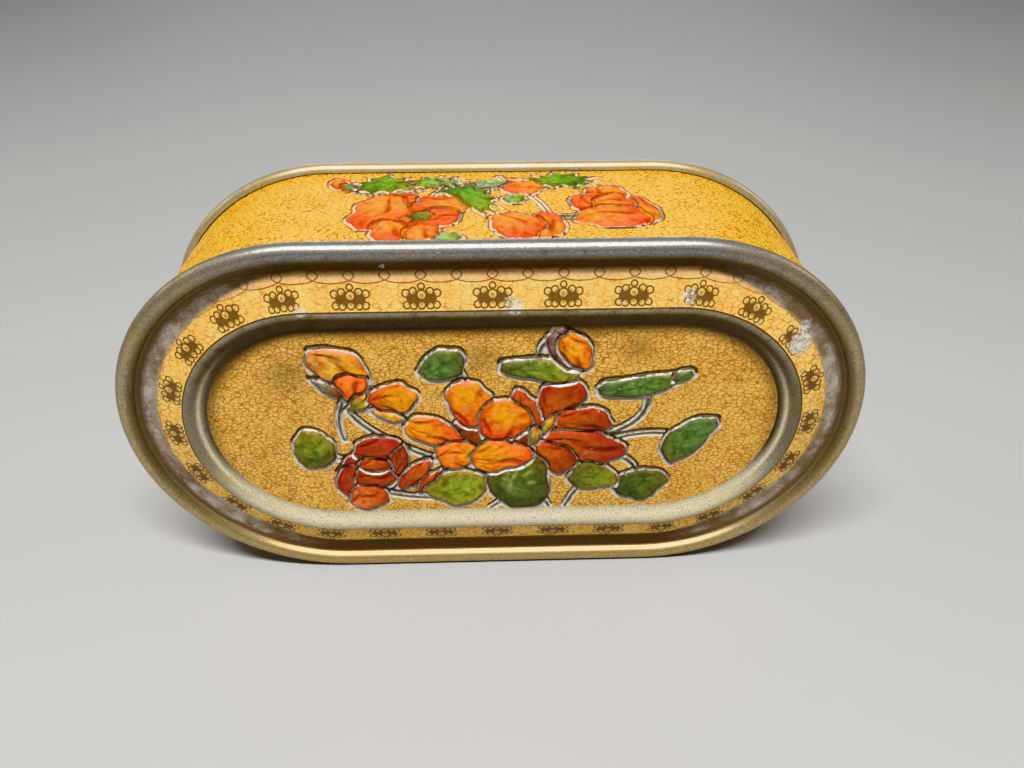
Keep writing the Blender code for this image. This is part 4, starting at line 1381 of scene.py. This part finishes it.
WALL_SPRAY = [
    # toothed leaves, behind the poppies
    toothed(-33.0, -14.8, 22.0, 14.0, 172, "leaf", "bottle", teeth=0.3),
    toothed(-17.0, -16.6, 18.0, 10.0, 174, "mist", "leaf", teeth=0.3),
    leaf(-1.0, -14.0, 16.0, 7.0, 170, "mist", "sage", point=0.3),
    toothed(-6.2, -4.4, 28.0, 14.5, 57, "bottle", "leaf", teeth=0.34),
    toothed(21.4, -17.0, 25.0, 12.5, 3, "leaf", "bottle", teeth=0.34),
    # buds
    petal(-47.2, -15.6, 9.4, 6.0, 60, "coral", "vermilion", point=0.2),
    bud(-43.6, -13.4, 5.0, 4.0, 20, "leaf", "sage", point=0.2),
    poppy(10.0, -11.4, 12.0, 9.6, 0, "vermilion", "coral", lobes=6, wave=0.08),
    bud(6.8, -2.8, 7.0, 6.6, 20, "mist", "leaf"),
    bud(-12.4, 23.0, 8.4, 6.0, 10, "mist", "leaf"),
    # poppies, each from its back petals to its front one
    petal(-23.6, 8.0, 18.0, 17.0, 20, "ember", "vermilion"),
    poppy(-27.4, -0.6, 15.0, 14.0, 20, "vermilion", "vermilion", wave=0.06),
    poppy(-32.8, 5.6, 22.0, 16.0, 108, "coral", "vermilion", lobes=7),
    poppy(-28.4, 19.0, 12.6, 11.0, 75, "coral", "vermilion"),
    poppy(-19.4, 18.8, 12.2, 9.4, 100, "vermilion", "coral"),
    poppy(-15.4, 1.4, 15.6, 12.4, 20, "vermilion", "coral", wave=0.08),
    poppy(-15.4, 9.8, 13.0, 11.0, -20, "vermilion", "vermilion", wave=0.06),
    bud(-20.4, 9.2, 6.0, 5.6, 0, "olive", "moss", lobes=6, wave=0.1),
    poppy(15.6, 15.6, 15.6, 10.6, 98, "vermilion", "coral"),
    poppy(7.2, 15.6, 17.2, 13.6, 62, "coral", "vermilion", lobes=7),
    poppy(35.0, -5.8, 12.8, 12.4, 88, "coral", "vermilion", wave=0.06),
    poppy(43.4, 6.0, 17.8, 10.8, 82, "vermilion", "coral", lobes=7),
    poppy(30.2, 1.6, 14.2, 12.6, 70, "vermilion", "vermilion"),
    poppy(36.4, 1.6, 11.2, 12.0, 6, "coral", "vermilion"),
    poppy(35.0, 10.8, 19.6, 13.8, 4, "coral", "vermilion", lobes=7, wave=0.04),
]

WALL_STEMS = [
    Stem((-46.2, -13.4), (-34.0, -1.0), (-16.0, -14.6), 2.2),
    Stem((2.4, -21.0), (5.0, -16.0), (7.6, -11.0), 2.2),
    Stem((11.4, -6.8), (16.0, 1.0), (17.0, 10.0), 2.2),
    Stem((19.6, 9.4), (23.6, 10.4), (28.4, 8.0), 4.6),
    Stem((-14.4, -13.0), (-17.0, -8.0), (-19.4, -3.0), 2.2),
    Stem((-17.0, 15.0), (-15.0, 19.0), (-13.0, 22.6), 2.0),
]

# %% [markdown]
# The same relief class presses the wall: the drawing is laid out flat over each straight run, and
# its height is added outward, square to the oval. The second long side repeats the first, turned
# half round. Points on the round ends are sent far off the drawing, so that no motif reaches them.

# %% The wall
wall_columns = oval_columns(*WALL_STEPS)
wall_top = -LID_BEAD_RADIUS - CLEARANCE
wall_height = np.linspace(wall_top, -BEAD_SPACING, WALL_ROWS)
wall_points = oval_points(wall_columns, np.full(WALL_ROWS, WALL_REACH), wall_height)
half_height = (wall_top + BEAD_SPACING) / 2
upper_side = np.sign(np.sin(wall_columns.angle))[:, None]
on_straight = np.abs(np.cos(wall_columns.angle)) < 0.001
drawing_x = wall_points[..., 0] * upper_side / HALF_STRAIGHT * WALL_DRAWING[0]
drawing_x[~on_straight] = OFF_THE_PICTURE
drawing_y = (wall_height - wall_top + half_height)[None, :] + np.zeros(drawing_x.shape)
drawing_y = drawing_y / (half_height - WALL_PICTURE_MARGIN) * WALL_DRAWING[1]
wall_relief = Relief(drawing_x, drawing_y, inner_lines=0.2, ink_all_round=True)
wall_relief.lay_all(WALL_STEMS, WALL_SPRAY, WALL_SWELL, WALL_STEM_SWELL, "sage")
outward = np.stack([np.cos(wall_columns.angle), np.sin(wall_columns.angle)], -1)[:, None, :]
wall_points[..., :2] += outward * wall_relief.height[..., None]

WALL_GROUND = {
    "Cells": 800.0, "Crack": 0.95, "Width": 0.18, "Ground": pigment(244, 196, 74),
    "Deep": pigment(236, 178, 52), "Line": pigment(128, 76, 16),
}
wall_paint = painted_sheet(
    "wall_paint", WALL_GROUND, pigment(218, 188, 160), 0.0, pigment(96, 44, 16), 0.76, 0.1
)
# The ground darkens over the last 7 mm towards the base.
near_base = ease((-wall_height - BEAD_SPACING + 7) / 7)[None, :]
wall_fields = {
    **wall_relief.fields(), "shade_and_soil": 0.3 * near_base * np.ones(drawing_x.shape),
}
wall = pressed_sheet(
    "wall_band", wall_points, wall_columns, wall_height, wall_fields, [wall_paint, inside_tin], every=4
)
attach(wall, "root")
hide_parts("wall")

# %% [markdown]
# The base is a flat plate, sunk a little, whose edge goes down inside the wall and curls outward
# round the wall's foot as a second, thinner bead. The section starts inside the curl and ends in
# the middle of the plate, so that its faces point out of the tin.

# %% The base
BASE_BEAD_RADIUS = 2.3
BASE_RECESS = 3.0
BASE_BEAD_REACH = RIM_REACH - BASE_BEAD_RADIUS
CURL_STEPS, FOLD_STEPS, PLATE_POINTS = 20, 8, 10


def base_section():
    """Reach and height from the end of the curl, round it and up its flange, to the plate's middle."""
    flange = SKIRT_REACH - SHEET
    level = -BEAD_SPACING - BASE_BEAD_RADIUS + BASE_RECESS
    centre = (BASE_BEAD_REACH, -BEAD_SPACING)
    curl = arc(centre, (BASE_BEAD_RADIUS, BASE_BEAD_RADIUS), 450, 270, CURL_STEPS)
    fold = arc(centre, (BASE_BEAD_REACH - flange, BASE_BEAD_RADIUS), 270, 180, FOLD_STEPS)[1:]
    plate_reach = np.linspace(flange, 0, PLATE_POINTS)
    plate = np.stack([plate_reach, np.full(PLATE_POINTS, level)], -1)
    return np.concatenate([curl, fold, plate])


base_paint = bare_tinplate(
    "base_tinplate", "wear", "soot_and_shade", 0.6, 0.00004,
    **pigments(Gold=(188, 166, 116), Tin=(186, 184, 178)),
)
base_reach, base_height = base_section().T
base_points = oval_points(rim_columns, base_reach, base_height)
base_shape = base_points.shape[:2]
on_plate = ease((BASE_BEAD_REACH - 2.5 - base_reach) / 1.5)[None, :]
base_fields = {
    "wear": 0.42 + 0.42 * on_plate + np.zeros(base_shape),
    "soot_and_shade": 0.34 - 0.10 * on_plate + np.zeros(base_shape),
}
base = pressed_sheet(
    "base_and_curl", base_points, rim_columns, base_reach, base_fields, [base_paint, inside_tin],
    every=2, closed=(True, False),
)
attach(base, "root")
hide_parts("base")
